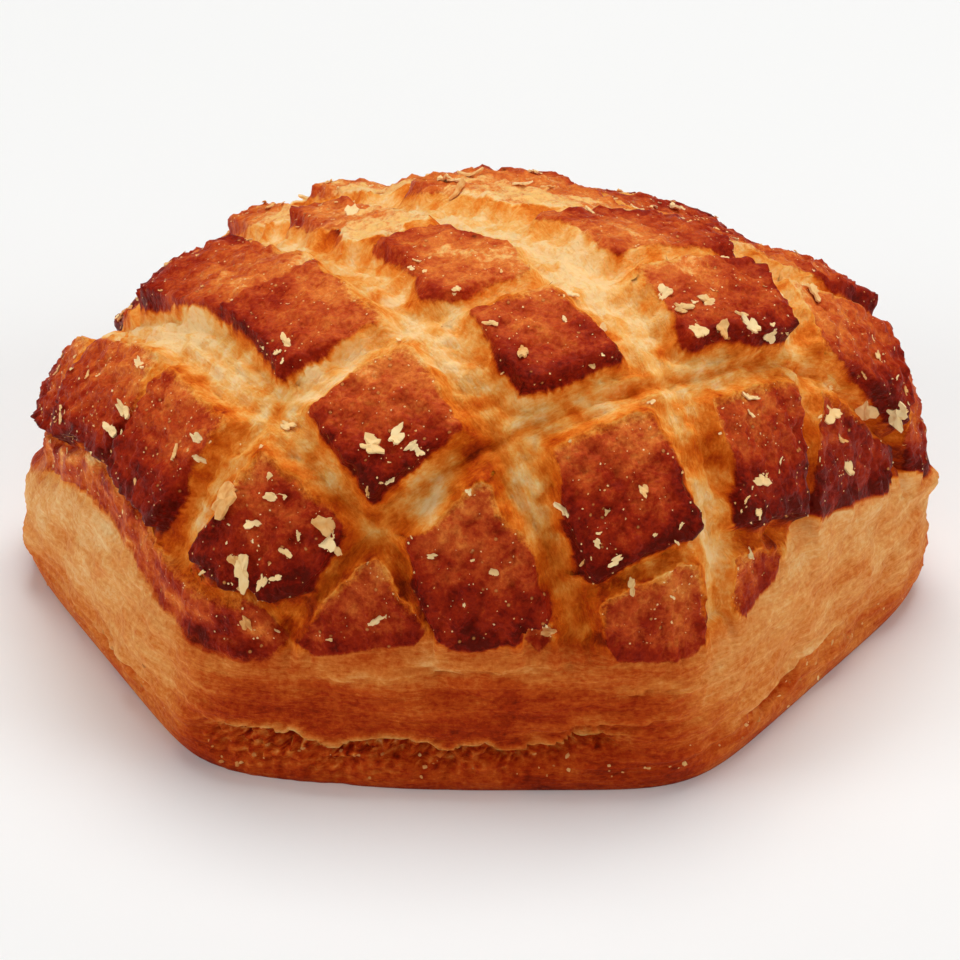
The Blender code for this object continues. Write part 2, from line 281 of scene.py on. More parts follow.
# %% [markdown]
# ## The lattice of cuts
# Rows of cuts run one way and columns run across them. No cut is straight or even: each is a gentle
# curve through three stations, and its opening is given at the same three. A plate is the crust
# between two rows and two columns. `inset` says how far in from its edge a place lies: above zero on
# a plate, below zero in a valley. The edge is made ragged by nudging places before they are looked up.
#
# No such rule gives every edge of the real scone, so a short list moves single edges further out or
# in. Along the left rim the knife stopped short: the plates end there at a narrow gap, and a band of
# crust runs on uncut to the rim.

# %% The lattice of cuts
ROW_ANGLE = math.radians(31.0)
STATION = 30.0 * MM
STATION_LIMIT = 1.4
# Each cut, in millimetres: its place at the three stations, and its opening at the same three.
ROW_CUTS = [
    ((-44.0, -45.8, -47.0), (1.8, 2.6, 2.2)),
    ((-29.0, -30.2, -33.5), (3.2, 5.8, 3.6)),
    ((-14.2, -15.7, -20.0), (4.6, 2.8, 2.4)),
    ((0.0, -1.8, -7.0), (1.8, 3.4, 2.8)),
    ((16.5, 15.5, 10.0), (2.8, 3.4, 3.0)),
    ((32.0, 31.5, 27.0), (2.6, 3.2, 3.0)),
    ((46.0, 46.5, 43.0), (2.2, 2.6, 2.4)),
]
COLUMN_CUTS = [
    ((-42.8, -44.8, -44.0), (1.4, 1.4, 1.6)),
    ((-28.7, -28.0, -27.0), (3.0, 6.4, 4.6)),
    ((-14.6, -12.0, -10.0), (6.0, 5.2, 4.0)),
    ((0.6, -0.4, -1.5), (6.2, 6.8, 4.4)),
    ((16.8, 16.5, 14.5), (3.4, 3.6, 3.4)),
    ((34.5, 32.0, 30.5), (2.4, 2.8, 2.6)),
]
OUTER_CELL = 15.0 * MM
JOINED_ROW = 3
JOINED_AT = -19.5 * MM
JOINED_REACH = 6.0 * MM
JOINED_WIDTH = 4.0 * MM
PLATE_CORNER = 0.8 * MM
RAGGED = ((5.0 * MM, 0.15 * MM), (1.7 * MM, 0.08 * MM), (0.8 * MM, 0.03 * MM))
RAGGED_ALONG_SEED = 11
RAGGED_ACROSS_SEED = 21
CROSSING = 0.5 * MM
# Where an edge of a plate lies further out or in: place on the flat crust, reach and shift, in mm.
EDGE_SHIFTS = [
    (-21.2, -44.6, 3.0, -2.4), (-4.4, -39.6, 3.0, -1.4), (5.6, -42.6, 3.5, 1.5),
    (7.4, -47.6, 3.5, 1.7), (-3.8, -16.4, 2.6, 1.25), (-18.3, -18.6, 4.6, -1.2),
    (24.2, -32.6, 3.2, -1.2), (-8.0, -4.2, 3.0, 1.3), (-20.4, -15.0, 3.5, -0.7),
    (25.0, -19.5, 2.8, 1.0), (30.0, -14.0, 3.0, -1.2), (21.0, -8.0, 3.2, -0.9),
    (3.0, -8.5, 2.8, 1.4),
]
BAND_MIDDLE = math.radians(-154.0)
BAND_HALF = math.radians(35.0)
BAND_END = 0.10
BAND_WIDTH = 3.6 * MM
BAND_GAP = 1.3 * MM
NO_BAND = 6.0 * MM
OFF_BAND = -4.0 * MM
LEAST_BAND = 0.01


def along_band(bearing):
    """Angle from the middle of the left rim, which is less than zero towards the back."""
    return (bearing - BAND_MIDDLE + math.pi) % (2.0 * math.pi) - math.pi


def band_share(bearing):
    """1 along the left rim, where the crust runs on uncut, and 0 elsewhere."""
    return 1.0 - ease(np.abs(along_band(bearing)), BAND_HALF, BAND_HALF + BAND_END)


def rim_band(bearing, from_rim):
    """Distance in from the edge of the uncut band."""
    inside = band_share(bearing)
    return np.where(inside > LEAST_BAND, BAND_WIDTH * inside - from_rim, OFF_BAND)


def along_and_across(x, y):
    """A place on the flat crust, measured along the rows and across them."""
    cosine, sine = math.cos(ROW_ANGLE), math.sin(ROW_ANGLE)
    return x * cosine + y * sine, -x * sine + y * cosine


def through_stations(values, along):
    """The parabola through three values, in millimetres, at -STATION, 0 and +STATION."""
    low, middle, high = (value * MM for value in values)
    share = np.clip(along / STATION, -STATION_LIMIT, STATION_LIMIT)
    return middle + 0.5 * (high - low) * share + (0.5 * (high + low) - middle) * share ** 2


def cell_between(cuts, along, across):
    """For each point its cell between the cuts: number, place across it from 0 to 1, two insets."""
    centres = np.array([through_stations(cut[0], along) for cut in cuts])
    halves = np.array([through_stations(cut[1], along) for cut in cuts]) / 2.0
    number = (across[None] > centres).sum(axis=0)
    lines = np.concatenate([centres[:1] - OUTER_CELL, centres, centres[-1:] + OUTER_CELL])
    openings = np.concatenate([halves[:1], halves, halves[-1:]])
    pick = np.arange(across.size)
    low, high = lines[number, pick], lines[number + 1, pick]
    inset_low = across - low - openings[number, pick]
    inset_high = high - across - openings[number + 1, pick]
    return number, (across - low) / (high - low), inset_low, inset_high


def rounded_inset(first, second, corner):
    """Distance in from the edge of a plate, with the corner rounded."""
    nearest = np.minimum(first, second)
    past = np.hypot(np.minimum(first - corner, 0.0), np.minimum(second - corner, 0.0))
    return np.where((first < corner) & (second < corner), corner - past, nearest)


def lattice(x, y):
    """Where each place of the flat crust lies in the lattice of plates and valleys."""
    along, across = along_and_across(x, y)
    places = np.stack([along, across], axis=-1)
    ragged_along = layered_lumps(places, RAGGED, RAGGED_ALONG_SEED)
    ragged_across = layered_lumps(places, RAGGED, RAGGED_ACROSS_SEED)
    near, far = along + ragged_along, across + ragged_across
    row, row_place, row_low, row_high = cell_between(ROW_CUTS, near, far)
    column, column_place, column_low, column_high = cell_between(COLUMN_CUTS, far, near)
    joined = JOINED_WIDTH * np.exp(-((near - JOINED_AT) / JOINED_REACH) ** 4)
    row_low = row_low + np.where(row == JOINED_ROW + 1, joined, 0.0)
    row_high = row_high + np.where(row == JOINED_ROW, joined, 0.0)
    row_inset = np.minimum(row_low, row_high)
    column_inset = np.minimum(column_low, column_high)
    bearing, share = on_flat_crust(x, y)
    from_rim = (1.0 - share) * FLAT_STRETCH * outline_radius(bearing) + ragged_along + ragged_across
    shift = np.zeros_like(along)
    for spot_x, spot_y, reach, size in EDGE_SHIFTS:
        away = np.hypot(x - spot_x * MM, y - spot_y * MM) / (reach * MM)
        shift += size * MM * np.exp(-away ** 2)
    inside = band_share(bearing)
    past_band = from_rim - (BAND_WIDTH + BAND_GAP) * inside + NO_BAND * (1.0 - inside)
    return {
        "along": along,
        "across": across,
        "row": row,
        "column": column,
        "row_place": row_place,
        "column_place": column_place,
        "row_valley": ease(column_inset - row_inset, -CROSSING, CROSSING),
        "inset": np.minimum(rounded_inset(row_inset, column_inset, PLATE_CORNER), past_band) + shift,
        "band": rim_band(bearing, from_rim),
        "share": share,
    }


print("cuts:", len(ROW_CUTS), "rows and", len(COLUMN_CUTS), "columns")

# %% [markdown]
# ## A fine disc, drawn down into a wall
# A circle of six corners filled with a fan of triangles is a hexagon. Subdivided, it is an even net,
# which has no pole of squeezed faces in its middle as a round grid would. Its border is extruded
# down once for the wall, and only the upright edges are then subdivided into rings. The last border
# is filled for the foot. So far it is only a net: x and y say where on the crust a point belongs,
# and z says how far down the wall.

# %% A fine disc, drawn down into a wall
FIRST_CUTS = 16
SECOND_CUTS = 7
WALL_RINGS = 48


def select_edges(mesh, test):
    """Select just the edges for which test(first corner, second corner) holds."""
    mesh.vertices.foreach_set("select", [False] * len(mesh.vertices))
    mesh.polygons.foreach_set("select", [False] * len(mesh.polygons))
    places = np.zeros(len(mesh.vertices) * 3)
    mesh.vertices.foreach_get("co", places)
    places = places.reshape(-1, 3)
    ends = np.zeros(len(mesh.edges) * 2, int)
    mesh.edges.foreach_get("vertices", ends)
    ends = ends.reshape(-1, 2)
    mesh.edges.foreach_set("select", test(places[ends[:, 0]], places[ends[:, 1]]))


def hexagon_share(x, y):
    """How far out a point of the unit hexagon lies: 0 in the middle and 1 on the border."""
    angles = [math.radians(30.0 + 60.0 * side) for side in range(3)]
    gauges = [np.abs(x * math.cos(angle) + y * math.sin(angle)) for angle in angles]
    return np.maximum.reduce(gauges) / math.cos(math.radians(30.0))


def on_border(first, second):
    """Edges that lie on the border of the unit hexagon."""
    tight = 1.0 - 1e-4
    return (hexagon_share(*first[:, :2].T) > tight) & (hexagon_share(*second[:, :2].T) > tight)


def is_upright(first, second):
    """Edges that run from the border down to the foot."""
    return np.abs(first[:, 2] - second[:, 2]) > 0.5


def make_net():
    """The net of the scone: a unit hexagon with a wall one unit deep and a foot."""
    bpy.ops.object.select_all(action="DESELECT")
    bpy.ops.mesh.primitive_circle_add(vertices=6, radius=1.0, fill_type="TRIFAN")
    net = bpy.context.object
    bpy.ops.object.mode_set(mode="EDIT")
    bpy.ops.mesh.select_mode(type="EDGE")
    bpy.ops.mesh.select_all(action="SELECT")
    bpy.ops.transform.rotate(value=math.radians(30.0), orient_axis="Z", center_override=(0.0, 0.0, 0.0))
    bpy.ops.mesh.subdivide(number_cuts=FIRST_CUTS)
    bpy.ops.mesh.subdivide(number_cuts=SECOND_CUTS)
    bpy.ops.object.mode_set(mode="OBJECT")
    select_edges(net.data, on_border)
    bpy.ops.object.mode_set(mode="EDIT")
    bpy.ops.mesh.extrude_edges_move(TRANSFORM_OT_translate={"value": (0.0, 0.0, -1.0)})
    bpy.ops.mesh.edge_face_add()
    bpy.ops.object.mode_set(mode="OBJECT")
    select_edges(net.data, is_upright)
    bpy.ops.object.mode_set(mode="EDIT")
    bpy.ops.mesh.subdivide(number_cuts=WALL_RINGS - 1)
    bpy.ops.mesh.select_all(action="SELECT")
    bpy.ops.mesh.normals_make_consistent(inside=False)
    bpy.ops.object.mode_set(mode="OBJECT")
    return net


scone = make_net()
scone.name = "scone_dough"
scone.data.name = "scone_dough"
print("net:", len(scone.data.vertices), "points,", len(scone.data.polygons), "faces")

# %% [markdown]
# ## Points where the detail is
# The plates end in crisp edges, and an even net would cut them into steps. Points close to an edge
# are therefore drawn in towards it, so the net is fine there and a little coarser elsewhere. The
# pull fades out within a millimetre or two, and at the rim, where the net has to meet the wall. The
# rings of the wall are drawn together in the same way, about the height of the tear above the foot.

# %% Points where the detail is
DRAW_SHARE = 0.68
DRAW_REACH = 0.95 * MM
GRADIENT_STEP = 0.04 * MM
LEAST_SLOPE = 0.5
DRAW_ENDS = (0.955, 0.985)
RING_DRAW = 0.6
RING_CENTRE = 0.27


def drawn_in(x, y):
    """Places of the flat crust, moved towards the nearest plate edge."""
    here = lattice(x, y)["inset"]
    slope_x = (lattice(x + GRADIENT_STEP, y)["inset"] - here) / GRADIENT_STEP
    slope_y = (lattice(x, y + GRADIENT_STEP)["inset"] - here) / GRADIENT_STEP
    steep = np.maximum(np.hypot(slope_x, slope_y), LEAST_SLOPE)
    _, share = on_flat_crust(x, y)
    pull = -DRAW_SHARE * here * np.exp(-(here / DRAW_REACH) ** 2) * (1.0 - ease(share, *DRAW_ENDS))
    return x + pull * slope_x / steep ** 2, y + pull * slope_y / steep ** 2


def net_places(mesh):
    """What the net says of each point: bearing, place on the flat crust, and how far down the wall."""
    places = np.zeros(len(mesh.vertices) * 3)
    mesh.vertices.foreach_get("co", places)
    places = places.reshape(-1, 3)
    bearing = np.arctan2(places[:, 1], places[:, 0]) + TURN
    bearing = (bearing + math.pi) % (2.0 * math.pi) - math.pi
    share = np.minimum(hexagon_share(places[:, 0], places[:, 1]), 1.0)
    radius = FLAT_STRETCH * outline_radius(bearing) * share
    return bearing, radius * np.cos(bearing), radius * np.sin(bearing), -places[:, 2]


def rings_drawn(share):
    """Heights of the rings as shares of the wall, drawn together about the torn hollow."""
    turn = 2.0 * math.pi
    return share - RING_DRAW / turn * (np.sin(turn * (share - RING_CENTRE)) + math.sin(turn * RING_CENTRE))


bearings, flat_x, flat_y, down = net_places(scone.data)
flat_x, flat_y = drawn_in(flat_x, flat_y)
print("points on the wall:", int((down > 0.0).sum()), "and on the top:", int((down == 0.0).sum()))

# %% [markdown]
# ## Plates and valleys
# Each plate lies like a roof tile: flush at its uphill edge and proud at its downhill one. The
# valleys sink below the dome, and show soft dough pulled into ridges along the cut. One row of cuts
# is creased along its middle. Moving every point out along the dome's own direction, and not straight
# up, keeps the steep front as deep as the top. Broad swells then lift or drop whole stretches.

# %% Plates and valleys
PLATE_EDGE = 0.22 * MM
TILE_EVENNESS = 0.15
PLATE_LIFT = 0.2 * MM
PLATE_TILT = 1.9 * MM
PLATE_LUCK = 0.25 * MM
LUCK_SEED = 7
PLATE_LIP = 0.5 * MM
PLATE_LIP_FROM = (0.05, 0.30)
VALLEY_DEPTH = 1.7 * MM
VALLEY_SLOPE = (-0.2 * MM, 1.6 * MM)
CREASE_ROW = 1
CREASE_DEPTH = 0.6 * MM
CREASE_WIDTH = 0.55 * MM
CREASE_START = (-30.0 * MM, -18.0 * MM)
RIDGE_STRETCH = 6.0
RIDGE_PITCH = 1.2 * MM
RIDGE_HEIGHT = 0.22 * MM
RIDGE_CREST = 1.3
RIDGE_SEED = 41
BAND_HEIGHT = -0.4 * MM
BAND_SLOPE = (-0.5 * MM, 0.6 * MM)
FLUSH_AT_RIM = 0.35
FLUSH_FROM = (0.78, 0.97)
CRUST_SEED = 31
DOUGH_SEED = 45
CRUST_LUMPS = ((2.6 * MM, 0.12 * MM), (1.2 * MM, 0.09 * MM), (0.65 * MM, 0.06 * MM))
DOUGH_LUMPS = ((4.0 * MM, 0.14 * MM), (1.5 * MM, 0.07 * MM), (0.8 * MM, 0.04 * MM))
# Places where the oven lifted or dropped the crust: x, y, two radii and the height, in millimetres.
SWELLS = [(23.0, 12.0, 17.0, 15.0, -1.5), (-21.0, 26.0, 7.0, 8.0, 0.7), (-1.0, 19.5, 6.5, 6.0, 0.2),
          (-8.6, 25.0, 1.6, 8.0, -0.9), (31.0, 3.0, 3.0, 4.0, 0.6), (-34.5, 11.0, 4.5, 5.5, -1.9),
          (-42.0, -1.0, 3.5, 9.0, -1.0), (-32.6, 2.7, 3.5, 4.0, -1.2)]


def plate_luck():
    """A fixed draw for each plate: how much higher or lower it sits."""
    draw = random.Random(LUCK_SEED)
    return np.array([[draw.uniform(-1.0, 1.0) for _ in range(len(COLUMN_CUTS) + 1)]
                     for _ in range(len(ROW_CUTS) + 1)])


LUCK = plate_luck()


def stretched_ridges(cell):
    """Ridges that run along the nearest cut, about -1 to 1."""
    along_row = np.stack([cell["along"] / RIDGE_STRETCH, cell["across"]], axis=-1)
    along_column = np.stack([cell["along"], cell["across"] / RIDGE_STRETCH], axis=-1)
    row_ridges = lumps(along_row, RIDGE_PITCH, RIDGE_SEED)
    column_ridges = lumps(along_column, RIDGE_PITCH, RIDGE_SEED + 1)
    share = cell["row_valley"]
    return np.tanh(RIDGE_CREST * (row_ridges * share + column_ridges * (1.0 - share)))


def top_relief(cell, along_x, along_y):
    """Height of the crust over the dome, how far downhill a place lies on its plate, and the crease."""
    cosine, sine = math.cos(ROW_ANGLE), math.sin(ROW_ANGLE)
    places = np.stack([cell["along"], cell["across"]], axis=-1)
    down_along = -(along_x[:, 2] * cosine + along_y[:, 2] * sine)
    down_across = -(-along_x[:, 2] * sine + along_y[:, 2] * cosine)
    downhill = (cell["column_place"] - 0.5) * down_along + (cell["row_place"] - 0.5) * down_across
    tile = downhill / (TILE_EVENNESS + np.hypot(down_along, down_across))
    plate = PLATE_LIFT + PLATE_TILT * downhill + PLATE_LUCK * LUCK[cell["row"], cell["column"]]
    plate += PLATE_LIP * ease(tile, *PLATE_LIP_FROM)
    plate *= 1.0 - FLUSH_AT_RIM * ease(cell["share"], *FLUSH_FROM)
    plate += layered_lumps(places, CRUST_LUMPS, CRUST_SEED)
    crease_line = through_stations(ROW_CUTS[CREASE_ROW][0], cell["along"])
    crease = np.exp(-((cell["across"] - crease_line) / CREASE_WIDTH) ** 2)
    crease *= ease(cell["along"], *CREASE_START)
    hollow = ease(-cell["inset"], *VALLEY_SLOPE)
    valley = -VALLEY_DEPTH * hollow - CREASE_DEPTH * crease
    valley += RIDGE_HEIGHT * stretched_ridges(cell) * hollow
    on_band = ease(cell["band"], *BAND_SLOPE)
    valley += (BAND_HEIGHT - valley) * on_band
    valley += layered_lumps(places, DOUGH_LUMPS, DOUGH_SEED)
    cover = ease(cell["inset"], -PLATE_EDGE, PLATE_EDGE)
    return cover * plate + (1.0 - cover) * valley, tile, crease


def swell(points):
    """How much the crust is lifted at points of the dome."""
    lift = np.zeros(len(points))
    for x, y, wide, deep, height in SWELLS:
        away = ((points[:, 0] / MM - x) / wide) ** 2 + ((points[:, 1] / MM - y) / deep) ** 2
        lift += height * MM * np.exp(-away ** 2)
    return lift


def top_surface(x, y):
    """Points of the finished top, their outward directions, and what is known of each place."""
    cell = lattice(x, y)
    along_x, along_y = dome_slopes(x, y)
    outward = np.cross(along_x, along_y)
    outward /= np.linalg.norm(outward, axis=-1, keepdims=True)
    relief, cell["downhill"], cell["crease"] = top_relief(cell, along_x, along_y)
    cell["steep"] = 1.0 - outward[:, 2]
    points = puffed(x, y)
    cell["dome"] = points
    return points + outward * (relief + swell(points))[:, None], outward, cell


top_points, top_outward, top_cell = top_surface(flat_x, flat_y)
top_heights = top_points[:, 2] / MM
print("top between", round(top_heights.min(), 1), "and", round(top_heights.max(), 1), "mm")

# %% [markdown]
# ## Layers in the wall
# The wall is the cut side of the dough, so it shows its layers. Modelling each layer as a sheet would
# take very many faces for lines this thin. Instead a wave in height makes fine level ridges, which
# wander and fade round the scone. Lumps that are stretched level lie over them, like thin sheets.

# %% Layers in the wall
LAYER_PITCH = 2.3 * MM
LAYER_RELIEF = 0.17 * MM
# How the layers rise and fall: waves to the turn, how far and where they start, both in radians.
LAYER_WANDER = ((3.0, 1.6, 1.0), (7.0, 1.1, 0.0))
LAYER_FADING = (0.6, 0.4)
FADING_WAVES = (5.0, 2.0)
SHEET_STRETCH = 9.0
SHEETS = ((1.1 * MM, 0.08 * MM), (0.6 * MM, 0.05 * MM))
SHEET_SEED = 51


def flattened(places):
    """Places on the wall, drawn together round the scone, so that lumps on them turn into sheets."""
    return places * np.array([1.0 / SHEET_STRETCH, 1.0 / SHEET_STRETCH, 1.0])


def wall_layers(bearing, share, places):
    """Relief of the dough's layers: level ridges that wander and fade, and thin sheets over them."""
    wander = sum(size * np.sin(waves * bearing + start) for waves, size, start in LAYER_WANDER)
    steady, changing = LAYER_FADING
    round_waves, height_waves = FADING_WAVES
    fading = steady + changing * np.sin(round_waves * bearing + height_waves * share)
    ridges = LAYER_RELIEF * fading * np.sin(2.0 * math.pi * places[:, 2] / LAYER_PITCH + wander)
    return ridges + layered_lumps(flattened(places), SHEETS, SHEET_SEED)


print("layers, mm apart:", round(LAYER_PITCH / MM, 1))

# %% [markdown]
# ## Tears and bumps
# At the front the lowest layer has torn away and left a dark hollow under a ragged lip. Small tears
# with a pale lip run here and there all round, and single bumps stand out. Cutting them with a
# Boolean would leave hard rims. Instead each is a smooth rise and fall along the wall and up it.

# %% Tears and bumps
CRACK_FROM = math.radians(-128.0)
CRACK_TO = math.radians(-68.0)
CRACK_END = 0.16
CRACK_HEIGHT = 5.2 * MM
CRACK_WAVE = 0.5 * MM
CRACK_WAVES = 9.0
CRACK_RAGGED = ((6.0 * MM, 0.50 * MM), (2.2 * MM, 0.16 * MM))
CRACK_SEED = 61
CRACK_LIP = 0.3 * MM
CRACK_GAPE_LEFT = 3.7 * MM
CRACK_GAPE_RIGHT = 2.0 * MM
LIP_HEIGHT = 0.50 * MM
LIP_WIDTH = 0.34 * MM
# Small tears: bearing in degrees, height, half length along the wall and gape, in millimetres.
TEARS = [(-47.0, 4.0, 5.0, 0.85), (-36.0, 4.6, 3.5, 0.35), (-68.0, 9.9, 3.6, 0.35),
         (-73.0, 6.8, 7.0, 0.28), (-92.0, 12.7, 6.0, 0.28), (-104.0, 11.6, 5.0, 0.25),
         (-148.0, 3.0, 5.0, 0.40), (12.0, 4.0, 7.0, 0.50), (62.0, 5.5, 9.0, 0.60),
         (101.0, 3.6, 8.0, 0.70), (140.0, 6.0, 7.0, 0.45)]
TEAR_SHARE = 0.5
FULL_TEAR = 0.8
TEAR_LIP = 0.5
TEAR_LIP_HEIGHT = 0.6
TEAR_LIP_SPREAD = 1.5
TEAR_CALM = 0.6
# Single bumps: bearing in degrees, height, radius and how far each stands out, in millimetres.
BUMPS = [(-176.0, 5.2, 1.6, 0.8), (-4.0, 11.5, 1.5, 1.1), (-175.0, 15.5, 1.3, 0.7), (-29.0, 17.0, 1.6, 0.9),
         (-47.0, 19.0, 1.8, 0.9), (-58.0, 14.5, 2.2, 0.7), (-120.0, 13.5, 2.4, 0.7), (-10.0, 4.0, 1.4, 0.5),
         (24.0, 9.0, 2.0, 0.6), (75.0, 6.0, 1.8, 0.6), (118.0, 10.0, 2.2, 0.7), (152.0, 5.0, 1.6, 0.6),
         (-97.0, 0.0, 12.0, 0.9)]


def beside(bearing, degrees):
    """Sine of the angle from a bearing in degrees, and whether a place is on that side of the scone."""
    turned = bearing - math.radians(degrees)
    return np.sin(turned), np.cos(turned) > 0.0


def torn_open(bearing, z, rim, ring_places):
    """The wall's hollows and the pale lips over them, each as a share of the full one."""
    opening = ease(bearing, CRACK_FROM, CRACK_FROM + CRACK_END)
    closing = ease(-bearing, -CRACK_TO, CRACK_END - CRACK_TO)
    crack_line = CRACK_HEIGHT + CRACK_WAVE * np.sin(CRACK_WAVES * bearing)
    crack_line += layered_lumps(ring_places, CRACK_RAGGED, CRACK_SEED)
    gape = CRACK_GAPE_LEFT + (CRACK_GAPE_RIGHT - CRACK_GAPE_LEFT) * ease(bearing, CRACK_FROM, CRACK_TO)
    above = np.maximum(z - crack_line, 0.0) / CRACK_LIP
    below = np.maximum(crack_line - z, 0.0) / gape
    hollow = opening * closing * np.exp(-above ** 4 - below ** 2.5)
    torn_lip = opening * closing * np.exp(-((z - crack_line - LIP_HEIGHT) / LIP_WIDTH) ** 2)
    for degrees, height, length, tear_gape in TEARS:
        sine, near = beside(bearing, degrees)
        aside = rim * sine / (length * MM)
        line = height * MM + (crack_line - CRACK_HEIGHT) * TEAR_CALM
        tear = np.exp(-aside ** 4 - ((z - line) / (tear_gape * MM)) ** 4) * near
        hollow = np.maximum(hollow, tear * TEAR_SHARE * min(tear_gape / FULL_TEAR, 1.0))
        over = z - line - tear_gape * MM - TEAR_LIP_HEIGHT * LIP_HEIGHT
        over = over / (TEAR_LIP_SPREAD * LIP_WIDTH)
        torn_lip = np.maximum(torn_lip, TEAR_LIP * np.exp(-aside ** 4 - over ** 2) * near)
    return hollow, torn_lip


def wall_bumps(bearing, z, rim):
    """How far the single bumps stand out of the wall."""
    bumps = np.zeros(len(bearing))
    for degrees, height, size, out in BUMPS:
        sine, near = beside(bearing, degrees)
        aside = rim * sine / (size * MM)
        over = (z - height * MM) / (size * MM)
        bumps += out * MM * np.exp(-aside ** 2 - over ** 2) * near
    return bumps


print("small tears:", len(TEARS), "and bumps:", len(BUMPS))

# %% [markdown]
# ## The wall
# The wall swells in the middle and is rounded in at the foot. At the top it meets the crust, which
# hangs over it a little. Layers, tears and bumps are added to it. All of this is a radius for each
# height, so the wall is shaped ring by ring and stays closed.

# %% The wall
WALL_SWELL = 0.8 * MM
FOOT_ROUND = 1.6 * MM
FOOT_INSET = 0.4 * MM
LIP_DROP = 2.2 * MM
LAYERS_ABOVE_FOOT = (1.0 * MM, 3.0 * MM)
LAYERS_BELOW_RIM = (0.5 * MM, 2.5 * MM)
WALL_LUMPS = ((7.0 * MM, 0.20 * MM), (2.0 * MM, 0.06 * MM), (0.9 * MM, 0.035 * MM))
WALL_SEED = 55
CRACK_DEPTH = 2.5 * MM
CAVITY_LUMPS = ((0.9 * MM, 0.50 * MM),)
CAVITY_SEED = 65
LIP_OUT = 0.5 * MM


def wall_surface(bearing, share, edge, ring_places):
    """Points of the wall, its hollow and its torn lip. Share is 1 at the rim, whose point is edge."""
    rim = outline_radius(bearing)
    edge_out = np.hypot(edge[:, 0], edge[:, 1]) - rim
    z = edge[:, 2] * share
    drop = edge[:, 2] - z
    places = np.column_stack([ring_places, z])
    bulge = WALL_SWELL * np.sin(math.pi * share)
    layers = wall_layers(bearing, share, places)
    uneven = layered_lumps(places, WALL_LUMPS, WALL_SEED)
    inner = ease(z, *LAYERS_ABOVE_FOOT) * ease(drop, *LAYERS_BELOW_RIM)
    lip = edge_out * np.exp(-(drop / LIP_DROP) ** 2)
    foot = FOOT_INSET * np.clip(1.0 - z / FOOT_ROUND, 0.0, 1.0) ** 2
    hollow, torn_lip = torn_open(bearing, z, rim, ring_places)
    depth = CRACK_DEPTH + layered_lumps(places, CAVITY_LUMPS, CAVITY_SEED)
    bumps = wall_bumps(bearing, z, rim)
    radius = rim + bulge + (layers + uneven) * inner + bumps + lip - foot - hollow * depth
    radius = radius + LIP_OUT * torn_lip
    points = np.stack([radius * np.cos(bearing), radius * np.sin(bearing), z], axis=-1)
    return points, hollow, torn_lip


ring_radius = outline_radius(bearings)
ring_places = np.stack([ring_radius * np.cos(bearings), ring_radius * np.sin(bearings)], axis=-1)
edge_points, _, edge_cell = top_surface(FLAT_STRETCH * ring_places[:, 0], FLAT_STRETCH * ring_places[:, 1])
wall_points, wall_hollow, torn_lip = wall_surface(bearings, rings_drawn(1.0 - down), edge_points, ring_places)
on_wall = down > 0.0
skin = np.where(on_wall[:, None], wall_points, top_points)
scone.data.vertices.foreach_set("co", skin.astype(np.float32).ravel())
scone.data.update()
bpy.ops.object.select_all(action="DESELECT")
scone.select_set(True)
bpy.context.view_layer.objects.active = scone
bpy.ops.object.shade_smooth()
print("dough, mm:", [round(float(size), 1) for size in (skin.max(0) - skin.min(0)) / MM])

# %% [markdown]
# ## How far the plates are baked
# Two numbers, worked out once for each point, tell the material nearly all that it needs.
# `inset` is the distance in from a plate's edge, so the colour can change sharply at the true edge.
# `baked` runs from 0, raw and creamy, to 1, nearly burnt. An image could hold both, but numbers on
# the points stay as sharp as the net and need no file.
#
# A plate is darkest at its downhill edge, which stands proud in the oven's heat; the darkening by that
# edge is partly painted shade on the plate's downhill side. An oven doesn't heat evenly, so some plates
# are browner or paler than the rule says. A short list holds those.

# %% How far the plates are baked
# Lumps of colour: the pitch and the seed.
BLOTCHES = (6.0 * MM, 71)
MOTTLE = (2.2 * MM, 72)
LOW_SIDE = (-0.05, 0.22)
# How far the darkening by a downhill edge, browning and painted shade, reaches.
RIM_BURN_AND_SHADE_REACH = 0.9 * MM
# How much each thing adds to the browning.
PLATE_BROWN = {"all": 0.42, "downhill": 0.60, "steep": 0.28, "low rim": 0.22, "blotches": 0.06,
               "mottle": 0.05}
# How much browner or, below zero, paler single plates are, by their row and column.
PLATE_TONES = {
    (5, 3): -0.32, (5, 4): -0.42, (6, 4): -0.46, (4, 3): -0.27, (4, 4): -0.30,
    (3, 3): -0.16, (3, 4): -0.05, (2, 5): -0.06, (1, 5): 0.14, (2, 1): 0.04,
    (1, 2): -0.09, (2, 3): 0.09, (0, 3): -0.07, (3, 2): 0.04, (4, 1): -0.07,
}


def low_side(cell):
    """1 on the downhill side of a plate, and 0 on its uphill side."""
    return ease(cell["downhill"], *LOW_SIDE)


def baked_plate(cell, blotches, mottle):
    """Browning of the plates, each with its own tone, and painted shade by their downhill edges."""
    # Darker by the downhill edge: partly browning, partly painted shade on the plate's downhill side.
    burn_and_shade_by_low_rim = np.exp(-np.maximum(cell["inset"], 0.0) / RIM_BURN_AND_SHADE_REACH) * low_side(cell)
    brown = PLATE_BROWN
    plate = brown["all"] + brown["downhill"] * cell["downhill"] + brown["steep"] * cell["steep"]
    plate = plate + brown["low rim"] * burn_and_shade_by_low_rim
    plate = plate + brown["blotches"] * blotches + brown["mottle"] * mottle
    for (row, column), browner in PLATE_TONES.items():
        plate = plate + browner * ((cell["row"] == row) & (cell["column"] == column))
    return plate


print("plates with a tone of their own:", len(PLATE_TONES))
